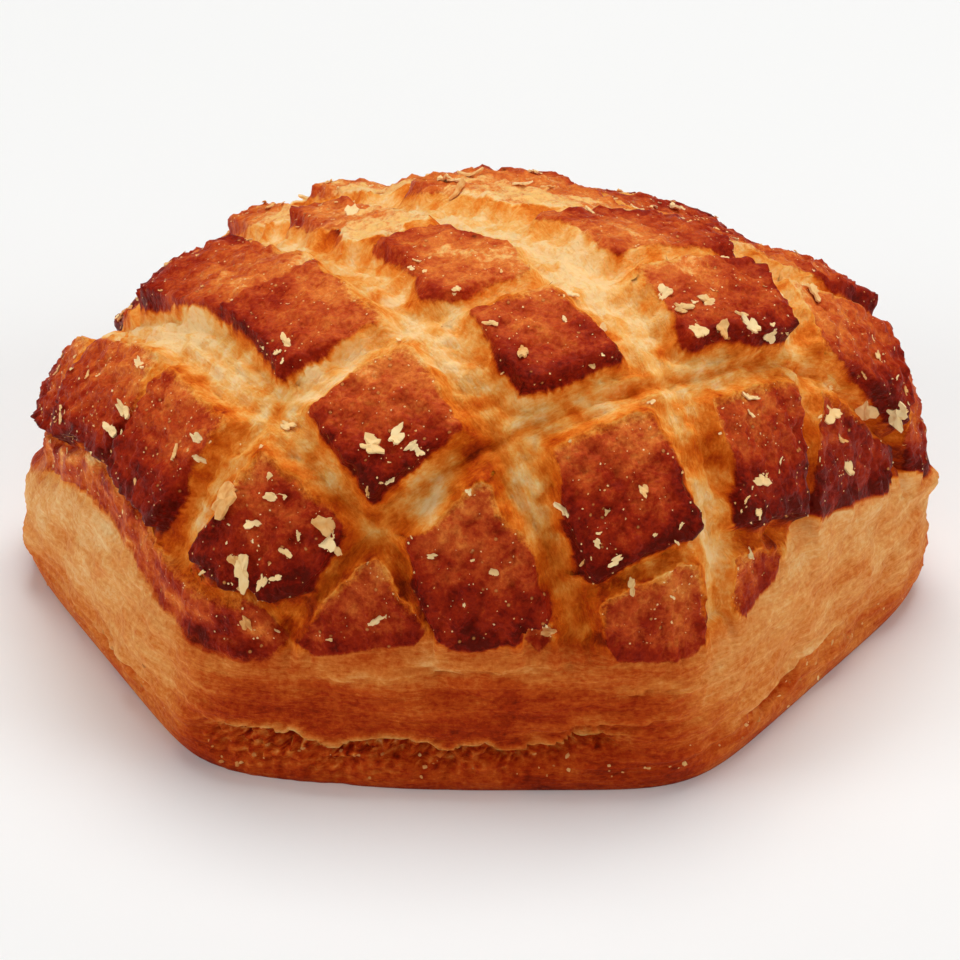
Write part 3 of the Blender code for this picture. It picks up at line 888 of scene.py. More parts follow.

# %% [markdown]
# ## How far the valleys are baked
# A valley is palest in its middle and golden by the plates, partly from browning and partly as painted
# shade, with a painted shadow under each plate's downhill side. It is browner on the steep front, along
# the crease and at the rim, and it blushes here and there. The photo shows spots that no rule gives, so
# a short list of soft round spots adds them.

# %% How far the valleys are baked
BLUSH = (3.0 * MM, 74)
BLUSH_FROM = (0.6, 1.8)
VALLEY_SIDE_REACH = 1.0 * MM
VALLEY_MIDDLE = (0.8 * MM, 2.8 * MM)
RIM_FROM = (0.82, 0.98)
STEEP_FROM = (0.08, 0.40)
VALLEY_BROWN = {"all": 0.24, "by a plate and painted shade": 0.20, "painted shadow under a low side": 0.14, "steep": 0.14,
                "crease": 0.18, "blotches": 0.06, "mottle": 0.07, "blush": 0.16, "rim": 0.32,
                "middle": 0.12, "flat top": 0.07}
# Places where the soft dough is browner or, below zero, paler: x, y and radius in millimetres.
DOUGH_SPOTS = [
    (10.6, -12.1, 6.0, -0.18), (-13.7, -26.0, 3.5, -0.24), (-26.5, -10.5, 4.5, -0.20),
    (23.9, -35.9, 2.6, -0.62), (5.0, -32.0, 3.0, -0.12), (20.9, -31.9, 1.7, 0.36),
    (-13.4, -1.6, 3.0, 0.36), (-8.6, -3.4, 3.4, 0.28), (0.2, -33.8, 3.0, 0.32),
    (-9.2, -34.9, 3.0, 0.28), (7.6, -35.4, 2.5, 0.28), (-20.9, -28.2, 3.5, 0.16),
    (15.7, -29.3, 3.5, 0.18), (8.5, -37.2, 4.0, -0.12), (-23.5, -17.0, 4.0, 0.12),
    (0.6, -34.5, 2.0, 0.14), (13.1, -22.5, 4.0, 0.12), (-25.1, -12.9, 3.0, -0.28),
    (-3.9, -37.0, 2.2, -0.24),
]


def baked_valley(cell, places, blotches, mottle):
    """Browning of the valleys: golden by the plates and at the rim, pale in the middle, with painted shade by
    the plates.
    """
    shade_and_browning_by_plate = np.exp(np.minimum(cell["inset"], 0.0) / VALLEY_SIDE_REACH)
    blush = ease(lumps(places, *BLUSH), *BLUSH_FROM)
    at_rim = ease(cell["share"], *RIM_FROM)
    flat_top = 1.0 - ease(cell["steep"], *STEEP_FROM)
    middle = ease(-cell["inset"], *VALLEY_MIDDLE)
    brown = VALLEY_BROWN
    # Golden by the plates: partly browning, partly painted shade, and a painted shadow under a low side.
    valley = brown["all"] + (brown["by a plate and painted shade"] + brown["painted shadow under a low side"] * low_side(cell)) * shade_and_browning_by_plate
    valley = valley + brown["steep"] * cell["steep"] + brown["crease"] * cell["crease"]
    valley = valley + brown["blotches"] * blotches + brown["mottle"] * mottle
    valley = valley + brown["blush"] * blush + brown["rim"] * at_rim
    valley = valley - brown["middle"] * middle - brown["flat top"] * flat_top
    for x, y, radius, browner in DOUGH_SPOTS:
        away = ((cell["dome"][:, 0] / MM - x) ** 2 + (cell["dome"][:, 1] / MM - y) ** 2) / radius ** 2
        valley = valley + browner * np.exp(-away)
    return valley


print("spots on the soft dough:", len(DOUGH_SPOTS))

# %% [markdown]
# ## The band and the whole top
# The uncut band is crust, yet less baked than a plate, and streaked along the rim. Plates, valleys
# and band are worked out for every point, and the side of the edge on which the point lies then
# picks one of them. That is simpler than cutting the mesh along each edge.

# %% The band and the whole top
BAND_STREAKS = (1.2 * MM, 73)
STREAK_STRETCH = 4.0
BAND_CORNER = math.radians(32.0)
CORNER_SPREAD = 0.14
BAND_BROWN = {"all": 0.38, "forward": 0.08, "corner": 0.18, "blotches": 0.09, "streaks": 0.10,
              "over a plate": 0.06}
LOW_SIDE_THICKNESS = 0.45 * MM
CRUST_MARGIN = -0.1 * MM


def baked_band(cell, bearing, blotches):
    """Browning of the uncut band: streaked along the rim, and darkest at its front corner."""
    turned = along_band(bearing)
    corner = np.exp(-((turned - BAND_CORNER) / CORNER_SPREAD) ** 2)
    from_rim = (1.0 - cell["share"]) * FLAT_RADIUS
    streaks = lumps(np.column_stack([turned * FLAT_RADIUS / STREAK_STRETCH, from_rim]), *BAND_STREAKS)
    brown = BAND_BROWN
    band = brown["all"] + brown["forward"] * ease(turned, -BAND_HALF, BAND_CORNER)
    band = band + brown["corner"] * corner
    return band + brown["blotches"] * blotches + brown["streaks"] * streaks


def baked_top(cell, bearing, band_inset):
    """Browning of the top: the plates', the valleys' or the band's, by the side of the edge."""
    places = np.stack([cell["along"], cell["across"]], axis=-1)
    blotches = lumps(places, *BLOTCHES)
    mottle = lumps(places, *MOTTLE)
    plate = baked_plate(cell, blotches, mottle)
    valley = baked_valley(cell, places, blotches, mottle)
    band = baked_band(cell, bearing, blotches)
    valley = np.where(band_inset > CRUST_MARGIN, band, valley)
    plate = np.where(band_inset > 0.0, 0.5 * (plate + band) + BAND_BROWN["over a plate"], plate)
    on_plate = cell["inset"] + LOW_SIDE_THICKNESS * low_side(cell) > CRUST_MARGIN
    return np.where(on_plate, plate, valley)


_, rim_share = on_flat_crust(flat_x, flat_y)
top_band = rim_band(bearings, (1.0 - rim_share) * FLAT_STRETCH * ring_radius)
top_browning = baked_top(top_cell, bearings, top_band)
print("top, mean browning:", round(float(top_browning[~on_wall].mean()), 2))

# %% [markdown]
# ## How far the wall is baked
# The front wall and everything near the foot is browner than the left and right walls. Its tone is
# given by direction, and thin level bands show the layers. The torn hollow is dark and crumbly: its
# dark colour is painted shade in the recess. The lip over it is pale, because it is fresh dough that
# never met the hot air.

# %% How far the wall is baked
# Bearing in degrees, and the tone there.
WALL_TONES = [(-180, 0.31), (-150, 0.26), (-134, 0.33), (-124, 0.58), (-110, 0.62), (-66, 0.65),
              (-57, 0.40), (-35, 0.32), (0, 0.35), (45, 0.46), (90, 0.56), (135, 0.48), (180, 0.31)]
FRONT_FROM = math.radians(-128.0)
FRONT_TO = math.radians(-62.0)
FRONT_END = 0.15
FOOT_HEIGHTS = (1.0 * MM, 8.0 * MM)
SCORCH_HEIGHTS = (8.0 * MM, 13.0 * MM)
CORNER_HEIGHTS = (8.0 * MM, 12.0 * MM)
# The darker corner, as a bearing and a spread, in degrees.
SCORCH_CORNER = (-121.0, 9.0)
PALE_DROP = 3.0 * MM
PALE_SPREAD = 2.0 * MM
WALL_BANDS = ((1.6 * MM, 75), (0.8 * MM, 77))
WALL_BLOTCHES = (5.0 * MM, 76)
# Mottle of the painted shade in the torn hollow: the pitch and the seed.
CAVITY_CRUMBS = (0.8 * MM, 78)
# The hollow and its crumbs give the painted shade in the torn hollow, and its mottle.
WALL_BROWN = {"foot": 0.26, "scorch": 0.16, "bands": 0.025, "blotches": 0.035, "under the rim": 0.07,
              "corner": 0.05, "hollow": 0.66, "crumbs": 0.20, "torn lip": 0.46}


def wall_tone(bearing):
    """How brown the wall is in a direction."""
    degrees, tones = zip(*WALL_TONES)
    return np.interp(np.degrees(bearing), degrees, tones)


def low_down(z, heights):
    """1 below the first height, 0 above the second, eased between."""
    low, high = heights
    return ease(-z, -high, -low)


def baked_wall(bearing, points, edge, hollow, torn_lip):
    """Browning of the wall: by direction, browner towards the foot, and painted shade in the torn hollow."""
    z = points[:, 2]
    drop = edge[:, 2] - z
    front = ease(bearing, FRONT_FROM, FRONT_FROM + FRONT_END)
    front = front * ease(-bearing, -FRONT_TO, FRONT_END - FRONT_TO)
    scorch = front * low_down(z, SCORCH_HEIGHTS)
    bands = sum(lumps(flattened(points), *band) for band in WALL_BANDS)
    blotches = lumps(points, *WALL_BLOTCHES)
    corner_bearing, corner_spread = SCORCH_CORNER
    corner = np.exp(-((np.degrees(bearing) - corner_bearing) / corner_spread) ** 2)
    corner = corner * low_down(z, CORNER_HEIGHTS)
    brown = WALL_BROWN
    dough = wall_tone(bearing) + brown["foot"] * low_down(z, FOOT_HEIGHTS) * (1.0 - front)
    dough = dough + brown["scorch"] * scorch + brown["bands"] * bands + brown["blotches"] * blotches
    dough = dough - brown["under the rim"] * np.exp(-((drop - PALE_DROP) / PALE_SPREAD) ** 2)
    # Painted shade in the torn hollow: dark and mottled.
    crumbs = brown["hollow"] + brown["crumbs"] * lumps(points, *CAVITY_CRUMBS)
    dough = (dough + brown["corner"] * corner) * (1.0 - hollow) + crumbs * hollow
    return dough - brown["torn lip"] * torn_lip


wall_browning = baked_wall(bearings, skin, edge_points, wall_hollow, torn_lip)
print("wall, mean browning:", round(float(wall_browning[on_wall].mean()), 2))

# %% [markdown]
# ## Numbers on the points
# The numbers are written on the points of the mesh, where the material can read them. The crust
# hangs over the rim, so the top of the wall is painted as crust, down to where the crust or the band
# ends.

# %% Numbers on the points
CRUST_OVER_RIM = 1.4 * MM
CRUST_ON_WALL = 0.12
WALL_STARTS = 1.5 * MM
# How far the band hangs over the rim: degrees from the band's middle, and millimetres.
BAND_OVER_RIM = [(-36, 3.2), (-29, 2.6), (-20, -0.5), (-10, 0.4), (0, 0.8), (32, 1.5)]
BAND_SOFT = 0.6
SOFT_UPHILL = 0.25
INSET_LIMIT = 4.0


def write_attribute(mesh, name, values):
    """One number for each point, for the material to read."""
    attribute = mesh.attributes.new(name, "FLOAT", "POINT")
    attribute.data.foreach_set("value", np.asarray(values, np.float32))


drop = edge_points[:, 2] - skin[:, 2]
edge_band = rim_band(bearings, np.zeros(len(bearings)))
band_over = np.interp(np.degrees(along_band(bearings)), *zip(*BAND_OVER_RIM)) * MM
over_rim = np.minimum(edge_cell["inset"], np.where(edge_band > 0.0, band_over, CRUST_OVER_RIM))
over_rim = np.maximum(over_rim, np.minimum(edge_band, band_over)) - drop
top_crust = top_cell["inset"] + LOW_SIDE_THICKNESS * low_side(top_cell)
inset = np.where(on_wall, over_rim, np.maximum(top_crust, top_band))
crust_on_wall = baked_top(edge_cell, bearings, edge_band) + CRUST_ON_WALL
wall_browning = np.where(over_rim > CRUST_MARGIN, crust_on_wall, wall_browning)
baked = np.where(on_wall, wall_browning, top_browning)
baked = np.clip(baked, 0.0, 1.0)
soft = ease(-top_cell["downhill"], 0.0, SOFT_UPHILL) * ~on_wall
soft = np.maximum(soft, BAND_SOFT * (edge_band > 0.0) * on_wall)
write_attribute(scone.data, "inset", np.clip(inset / MM, -INSET_LIMIT, INSET_LIMIT))
write_attribute(scone.data, "baked", baked)
write_attribute(scone.data, "soft", soft)
write_attribute(scone.data, "wall", np.where(on_wall, ease(drop, 0.0, WALL_STARTS), 0.0))
write_attribute(scone.data, "row_valley", np.where(on_wall, edge_cell["row_valley"], top_cell["row_valley"]))
write_attribute(scone.data, "along", np.where(on_wall, edge_cell["along"], top_cell["along"]) / MM)
write_attribute(scone.data, "across", np.where(on_wall, edge_cell["across"], top_cell["across"]) / MM)
print("baked, mean:", round(float(baked.mean()), 2))

# %% [markdown]
# ## Materials as expressions
# A material is a little program of nodes. Placing each node by hand makes long code, so two small
# classes let it be written as arithmetic. A `Wire` is the output of a node, and adding or
# multiplying two wires adds a Math node. A `Recipe` holds one material and adds any other node.

# %% Materials as expressions
class Wire:
    """The output of a node. Arithmetic on it adds Math nodes."""

    def __init__(self, recipe, socket):
        self.recipe = recipe
        self.socket = socket

    def maths(self, operation, *others, clamp=False):
        """One Math node on this value and others."""
        sockets = dict(enumerate((self, *others)))
        return self.recipe.add("ShaderNodeMath", {"operation": operation, "use_clamp": clamp}, sockets)

    def __add__(self, other):
        return self.maths("ADD", other)

    def __sub__(self, other):
        return self.maths("SUBTRACT", other)

    def __mul__(self, other):
        return self.maths("MULTIPLY", other)

    def __truediv__(self, other):
        return self.maths("DIVIDE", other)

    def __rsub__(self, other):
        return self.recipe.add("ShaderNodeMath", {"operation": "SUBTRACT"}, {0: other, 1: self})

    def eased(self, start, stop):
        """0 before start, 1 after stop, eased between."""
        sockets = {"Value": self, "From Min": start, "From Max": stop}
        return self.recipe.add("ShaderNodeMapRange", {"interpolation_type": "SMOOTHSTEP"}, sockets)

    def clamped(self):
        """Held between 0 and 1."""
        return self.maths("ADD", 0.0, clamp=True)


class Recipe:
    """One material, whose nodes are added by name."""

    def __init__(self, name):
        self.material = bpy.data.materials.new(name)
        self.material.use_nodes = True
        self.tree = self.material.node_tree
        self.shader = self.tree.nodes["Principled BSDF"]

    def add(self, kind, settings=None, sockets=None, output=0):
        """A node of a kind, with its settings, and the values or wires of its sockets."""
        node = self.tree.nodes.new(kind)
        for name, value in (settings or {}).items():
            if name == "stops":
                self.set_stops(node.color_ramp, value)
            else:
                setattr(node, name, value)
        for name, value in (sockets or {}).items():
            self.feed(node.inputs[name], value)
        return Wire(self, node.outputs[output])

    def feed(self, socket, value):
        """Link a wire to a socket, or set the socket to a value."""
        if isinstance(value, Wire):
            self.tree.links.new(value.socket, socket)
        else:
            socket.default_value = value

    def set_stops(self, ramp, stops):
        """The stops of a colour ramp, as (place, colour)."""
        while len(ramp.elements) < len(stops):
            ramp.elements.new(1.0)
        for element, (place, colour) in zip(ramp.elements, stops):
            element.position = place
            element.color = (*colour, 1.0)

    def attribute(self, name):
        """A number that each point of the piece carries."""
        return self.add("ShaderNodeAttribute", {"attribute_name": name}, output="Fac")

    def places(self, scale=(1.0, 1.0, 1.0)):
        """Object coordinates, stretched."""
        at = self.add("ShaderNodeTexCoord", output="Object")
        return self.add("ShaderNodeMapping", None, {"Vector": at, "Scale": scale})

    def noise(self, places, scale, detail=2.0, roughness=0.5):
        """Noise from 0 to 1."""
        sockets = {"Vector": places, "Scale": scale, "Detail": detail, "Roughness": roughness}
        return self.add("ShaderNodeTexNoise", None, sockets)

    def cells(self, places, scale, output="Distance"):
        """Distance to, or another output of, scattered cell centres."""
        return self.add("ShaderNodeTexVoronoi", None, {"Vector": places, "Scale": scale}, output)

    def ramp(self, value, stops):
        """A colour for each value."""
        return self.add("ShaderNodeValToRGB", {"stops": stops}, {"Fac": value}, output="Color")

    def mixed(self, share, first, second):
        """Two colours, mixed by a share."""
        settings = {"data_type": "RGBA"}
        return self.add("ShaderNodeMix", settings, {0: share, 6: first, 7: second}, output=2)

    def vector(self, x, y, z):
        """Three numbers as a vector."""
        return self.add("ShaderNodeCombineXYZ", None, {0: x, 1: y, 2: z})

    def finish(self, values):
        """Sockets of the shader: each gets a value, or a wire to it."""
        for name, value in values.items():
            self.feed(self.shader.inputs[name], value)
        return self.material


def tone(red, green, blue):
    """A colour given as a screen shows it, 0 to 255, turned into Blender's linear values."""
    shares = [channel / 255.0 for channel in (red, green, blue)]
    return tuple(s / 12.92 if s <= 0.04045 else ((s + 0.055) / 1.055) ** 2.4 for s in shares)


print("mid brown, linear:", [round(channel, 3) for channel in tone(165, 60, 28)])

# %% [markdown]
# ## Baked dough
# One material covers the whole scone. Two ramps turn browning into colour: soft dough goes from
# cream through gold to chestnut, and crust from amber to nearly black. The wall's own dough is less
# yellow than the valleys'. Which ramp shows is decided by `inset`, roughened a little.
#
# The skin of the crust is finely blistered, which is far smaller than the net, so a bump makes it,
# with pale dots that are partly dried starch and partly painted glints. The dough is drawn into fine
# fibres: along the cuts in the valleys, and level on the wall. A little light passes through it, as it
# does through real dough.

# %% Baked dough
DOUGH_STOPS = [(0.0, tone(253, 211, 150)), (0.14, tone(249, 189, 110)), (0.28, tone(244, 163, 73)),
               (0.42, tone(236, 132, 40)), (0.60, tone(214, 97, 14)), (0.80, tone(180, 60, 5)),
               (1.0, tone(126, 32, 4))]
WALL_STOPS = [(0.0, tone(250, 206, 144)), (0.25, tone(238, 164, 90)), (0.45, tone(221, 124, 50)),
              (0.65, tone(197, 80, 21)), (0.82, tone(168, 48, 9)), (1.0, tone(118, 26, 5))]
CRUST_STOPS = [(0.0, tone(250, 194, 116)), (0.20, tone(230, 126, 52)), (0.45, tone(196, 76, 28)),
               (0.66, tone(160, 38, 11)), (0.88, tone(124, 17, 6)), (1.0, tone(90, 11, 4))]
GRAIN = {"scale": 1900.0, "detail": 3.0, "roughness": 0.70}
COARSE_GRAIN = {"scale": 620.0, "detail": 2.0, "roughness": 0.55}
FIBROUS = {"detail": 4.0, "roughness": 0.65}
PIT_SCALE = 1500.0
DOT_SCALE = 950.0
# How far fibres and folds are drawn out, and how fine they are, in the valleys and on the wall.
FIBRES_BY_CUTS = (2.2, 2.8)
FIBRES_ON_WALL = (2.5, 3200.0)
FOLDS_BY_CUTS = (5.0, 0.9)
FOLDS_ON_WALL = (12.0, 1000.0)
FOLD_WIDTH = 0.05
# The middle of noise from 0 to 1.
EVEN = 0.5
# How far the crust's edge strays, and how softly it ends: on all edges, and more on soft ones.
EDGE_STRAY = (0.35, 1.4)
EDGE_START = -0.20
EDGE_STOP = (0.06, 0.9)
# How much each texture adds to the browning, and to the height of the skin.
DOUGH_BROWN = {"fibre": 0.46, "coarse": 0.20, "grain": 0.40, "fold": 0.07, "all": 0.01}
CRUST_BROWN = {"grain": 0.70, "coarse": 0.35}
DOUGH_HEIGHT = {"fibre": 0.52, "grain": 0.52, "fold": 0.12, "all": 0.05}
CRUST_HEIGHT = {"grain": 0.55, "pits": 0.35, "coarse": 0.5, "speck_and_glint": 0.5}
PIT_EDGES = (0.0, 0.6)
DOT_EDGES = (0.10, 0.20)
LUCKY_DOTS = (0.72, 0.76)
# Pale dots on the crust, partly dried starch and partly painted glints: how much they cover and their colour.
SPECK_AND_GLINT_COVER = 0.6
SPECK_AND_GLINT_COLOUR = (*tone(238, 164, 90), 1.0)
DOUGH_ROUGHNESS = 0.62
CRUST_GLOSS = 0.14
GRAIN_ROUGHNESS = 0.20
SKIN_HEIGHT = 0.32 * MM
DOUGH_FINISH = {
    "Subsurface Weight": 0.25,
    "Subsurface Radius": (1.0, 0.40, 0.15),
    "Subsurface Scale": 1.2 * MM,
    "Specular IOR Level": 0.10,
    "Specular Tint": (1.0, 0.62, 0.36, 1.0),
}


def drawn_textures(recipe, wall):
    """Fibres and folds, drawn out along the nearest cut in the valleys and level on the wall."""
    row_valley = recipe.attribute("row_valley")
    along = recipe.attribute("along")
    across = recipe.attribute("across")

    def by_cuts(stretch, scale):
        """Noise drawn out along the nearest cut."""
        by_row = recipe.noise(recipe.vector(along / stretch, across, 0.0), scale, **FIBROUS)
        by_column = recipe.noise(recipe.vector(along, across / stretch, 0.0), scale, **FIBROUS)
        return by_row * row_valley + by_column * (1.0 - row_valley)

    def level(stretch, scale):
        """Noise drawn out level, round the wall."""
        return recipe.noise(recipe.places((1.0 / stretch, 1.0 / stretch, 1.0)), scale, **FIBROUS)

    fibre = by_cuts(*FIBRES_BY_CUTS) * (1.0 - wall) + level(*FIBRES_ON_WALL) * wall
    folds = by_cuts(*FOLDS_BY_CUTS) * (1.0 - wall) + level(*FOLDS_ON_WALL) * wall
    return fibre, (1.0 - (folds - EVEN).maths("ABSOLUTE") / FOLD_WIDTH).clamped()


def baked_dough():
    """The material of the whole scone."""
    recipe = Recipe("baked_dough")
    baked = recipe.attribute("baked")
    inset = recipe.attribute("inset")
    soft = recipe.attribute("soft")
    wall = recipe.attribute("wall")
    here = recipe.places()

    grain = recipe.noise(here, **GRAIN)
    coarse = recipe.noise(here, **COARSE_GRAIN)
    pits = recipe.cells(here, PIT_SCALE)
    dots = recipe.cells(here, DOT_SCALE)
    dot_luck = recipe.cells(here, DOT_SCALE, output="Color")
    lucky = recipe.add("ShaderNodeSeparateColor", None, {"Color": dot_luck}, output="Red")
    fibre, fold = drawn_textures(recipe, wall)

    stray_all, stray_soft = EDGE_STRAY
    stop_all, stop_soft = EDGE_STOP
    strayed = inset + (grain - EVEN) * (soft * stray_soft + stray_all)
    crust = strayed.eased(EDGE_START, soft * stop_soft + stop_all)

    brown = DOUGH_BROWN
    dough_brown = baked + (fibre - EVEN) * brown["fibre"] + (coarse - EVEN) * brown["coarse"]
    dough_brown = dough_brown + (grain - EVEN) * brown["grain"]
    dough_brown = (dough_brown - fold * brown["fold"] + brown["all"]).clamped()
    valley_colour = recipe.ramp(dough_brown, DOUGH_STOPS)
    wall_colour = recipe.ramp(dough_brown, WALL_STOPS)
    soft_colour = recipe.mixed(wall, valley_colour, wall_colour)

    crust_brown = baked + (grain - EVEN) * CRUST_BROWN["grain"]
    crust_brown = (crust_brown + (coarse - EVEN) * CRUST_BROWN["coarse"]).clamped()
    crust_colour = recipe.ramp(crust_brown, CRUST_STOPS)
    # Pale dots on the crust: partly dried starch, partly painted glints.
    speck_and_glint = (1.0 - dots.eased(*DOT_EDGES)) * lucky.eased(*LUCKY_DOTS) * crust
    crust_colour = recipe.mixed(speck_and_glint * SPECK_AND_GLINT_COVER, crust_colour, SPECK_AND_GLINT_COLOUR)

    high = CRUST_HEIGHT
    crust_height = grain * high["grain"] + pits.eased(*PIT_EDGES) * high["pits"]
    crust_height = crust_height + coarse * high["coarse"] + speck_and_glint * high["speck_and_glint"]
    high = DOUGH_HEIGHT
    soft_height = fibre * high["fibre"] + grain * high["grain"] + fold * high["fold"] + high["all"]
    height = crust_height * crust + soft_height * (1.0 - crust)
    bump = {"Strength": 1.0, "Distance": SKIN_HEIGHT, "Height": height}

    return recipe.finish({
        "Base Color": recipe.mixed(crust, soft_colour, crust_colour),
        "Roughness": DOUGH_ROUGHNESS - crust * CRUST_GLOSS + (grain - EVEN) * GRAIN_ROUGHNESS,
        "Normal": recipe.add("ShaderNodeBump", None, bump),
        **DOUGH_FINISH,
    })


scone.data.materials.append(baked_dough())
print("nodes in the dough's material:", len(scone.data.materials[0].node_tree.nodes))

# %% [markdown]
# ## One flake, modelled
# A dried flake is a scrap of the dough's skin: thin, ragged and a little curled. It starts as a
# filled circle, which is subdivided, pulled to a ragged outline and bent, and Solidify then gives it
# its thickness. A few such shapes, turned and stretched, are enough, because no two lie alike.

# %% One flake, modelled
FLAKE_SHAPES = 12
FLAKE_SHAPE_SEED = 100
FLAKE_CORNERS = 11
FLAKE_THICKNESS = 0.085
# The ragged outline: how many waves go round it, and how high they are.
FLAKE_WAVES = ((2.0, 0.20), (3.0, 0.22), (5.0, 0.16))
FLAKE_JITTER = 0.16
FLAKE_MIDDLE = 0.1
FLAKE_WIDTHS = (0.35, 0.65)
FLAKE_CURLS = (-0.2, 0.9)
FLAKE_TWIST = 0.5
FLAKE_WARP = 0.04


def model_flake(seed):
    """Corners and faces of one flake, about one unit long, with its middle at the origin."""
    draw = np.random.default_rng(seed)
    bpy.ops.object.select_all(action="DESELECT")
    bpy.ops.mesh.primitive_circle_add(vertices=FLAKE_CORNERS, radius=0.5, fill_type="TRIFAN")
    flake = bpy.context.object
    bpy.ops.object.mode_set(mode="EDIT")
    bpy.ops.mesh.select_all(action="SELECT")
    bpy.ops.mesh.subdivide(number_cuts=1)
    bpy.ops.object.mode_set(mode="OBJECT")
    places = np.array([vert.co for vert in flake.data.vertices])
    angle = np.arctan2(places[:, 1], places[:, 0])
    reach = np.hypot(places[:, 0], places[:, 1])
    ragged = np.ones(len(places))
    for (waves, size), turn in zip(FLAKE_WAVES, draw.uniform(0.0, 2.0 * math.pi, len(FLAKE_WAVES))):
        ragged = ragged + size * np.sin(waves * angle + turn)
    ragged = ragged + draw.uniform(-FLAKE_JITTER, FLAKE_JITTER, len(places))
    ragged = np.where(reach > FLAKE_MIDDLE, ragged, 1.0)
    places[:, 0] *= ragged
    places[:, 1] *= ragged * draw.uniform(*FLAKE_WIDTHS)
    places /= places[:, 0].max() - places[:, 0].min()
    curl = draw.uniform(*FLAKE_CURLS)
    twist = draw.uniform(-FLAKE_TWIST, FLAKE_TWIST)
    places[:, 2] = curl * places[:, 0] ** 2 + twist * places[:, 0] * places[:, 1]
    places[:, 2] += draw.uniform(-FLAKE_WARP, FLAKE_WARP, len(places))
    flake.data.vertices.foreach_set("co", places.ravel())
    flake.data.update()
    thick = flake.modifiers.new("thickness", "SOLIDIFY")
    thick.thickness = FLAKE_THICKNESS
    thick.offset = 0.0
    bpy.ops.object.modifier_apply(modifier=thick.name)
    corners = np.array([vert.co for vert in flake.data.vertices])
    faces = [tuple(polygon.vertices) for polygon in flake.data.polygons]
    bpy.data.objects.remove(flake, do_unlink=True)
    return corners, faces


flake_shapes = [model_flake(FLAKE_SHAPE_SEED + number) for number in range(FLAKE_SHAPES)]
print("faces in one flake:", len(flake_shapes[0][1]))

# %% [markdown]
# ## Crumb and sliver
# Crumbs are tiny lumps of dried starch and dough: a coarse ball of twenty faces, dented. Slivers
# are hair-thin threads of crust that stand off the edges: a three-sided cone, bent sideways.

# %% Crumb and sliver
CRUMB_SHAPES = 4
CRUMB_SHAPE_SEED = 200
CRUMB_DENTS = (0.65, 1.2)
CRUMB_WIDTHS = (0.6, 0.9)
CRUMB_HEIGHTS = (0.4, 0.7)
SLIVER_SHAPES = 4
SLIVER_SHAPE_SEED = 300
SLIVER_RINGS = 3
SLIVER_ROOT = 0.07
SLIVER_TIP = 0.02
SLIVER_BENDS = (0.15, 0.5)
SLIVER_WAVE = 0.1
SLIVER_WAVES = (3.0, 6.0)


def model_crumb(seed):
    """Corners and faces of one crumb, about one unit across."""
    draw = np.random.default_rng(seed)
    bpy.ops.object.select_all(action="DESELECT")
    bpy.ops.mesh.primitive_ico_sphere_add(subdivisions=1, radius=0.5)
    crumb = bpy.context.object
    corners = np.array([vert.co for vert in crumb.data.vertices])
    corners *= draw.uniform(*CRUMB_DENTS, (len(corners), 1))
    corners *= np.array([1.0, draw.uniform(*CRUMB_WIDTHS), draw.uniform(*CRUMB_HEIGHTS)])
    faces = [tuple(polygon.vertices) for polygon in crumb.data.polygons]
    bpy.data.objects.remove(crumb, do_unlink=True)
    return corners, faces


def model_sliver(seed):
    """Corners and faces of one sliver, one unit long, rising from the origin."""
    draw = np.random.default_rng(seed)
    bpy.ops.object.select_all(action="DESELECT")
    bpy.ops.mesh.primitive_cone_add(vertices=3, radius1=SLIVER_ROOT, radius2=SLIVER_TIP, depth=1.0,
                                    location=(0.0, 0.0, 0.5), end_fill_type="TRIFAN")
    sliver = bpy.context.object
    bpy.ops.object.transform_apply(location=True)
    bpy.ops.object.mode_set(mode="OBJECT")
    select_edges(sliver.data, is_upright)
    bpy.ops.object.mode_set(mode="EDIT")
    bpy.ops.mesh.select_mode(type="EDGE")
    bpy.ops.mesh.subdivide(number_cuts=SLIVER_RINGS)
    bpy.ops.object.mode_set(mode="OBJECT")
    corners = np.array([vert.co for vert in sliver.data.vertices])
    corners[:, 0] += draw.uniform(*SLIVER_BENDS) * corners[:, 2] ** 2
    corners[:, 1] += SLIVER_WAVE * np.sin(corners[:, 2] * draw.uniform(*SLIVER_WAVES))
    faces = [tuple(polygon.vertices) for polygon in sliver.data.polygons]
    bpy.data.objects.remove(sliver, do_unlink=True)
    return corners, faces


crumb_shapes = [model_crumb(CRUMB_SHAPE_SEED + number) for number in range(CRUMB_SHAPES)]
sliver_shapes = [model_sliver(SLIVER_SHAPE_SEED + number) for number in range(SLIVER_SHAPES)]
print("faces in one crumb:", len(crumb_shapes[0][1]), "and in one sliver:", len(sliver_shapes[0][1]))

# %% [markdown]
# ## Laying them on the crust
# Each bit is laid at a point of the crust and faces out with it, is turned by chance and tipped a
# little. All of one kind are joined into one mesh, which stays at the origin, because thousands of
# separate objects would be slow and hard to hand on. Each bit also carries a number of its own,
# `shade`, so that its colour can differ from its neighbour's.

# %% Laying them on the crust
FLAKE_LIFT = 0.35


def turned_to(normal, spin, tip):
    """The turn that lays a flake on a surface: spun about its upright, then tipped."""
    facing = Vector((0.0, 0.0, 1.0)).rotation_difference(Vector(normal)).to_matrix()
    turn = facing @ Matrix.Rotation(spin, 3, "Z") @ Matrix.Rotation(tip, 3, "X")
    return np.array(turn)


def leaning_up(normal):
    """An outward direction, turned partly upwards, as a dried flake lifts off the crust."""
    leant = np.asarray(normal) + np.array([0.0, 0.0, FLAKE_LIFT])
    return leant / np.linalg.norm(leant)


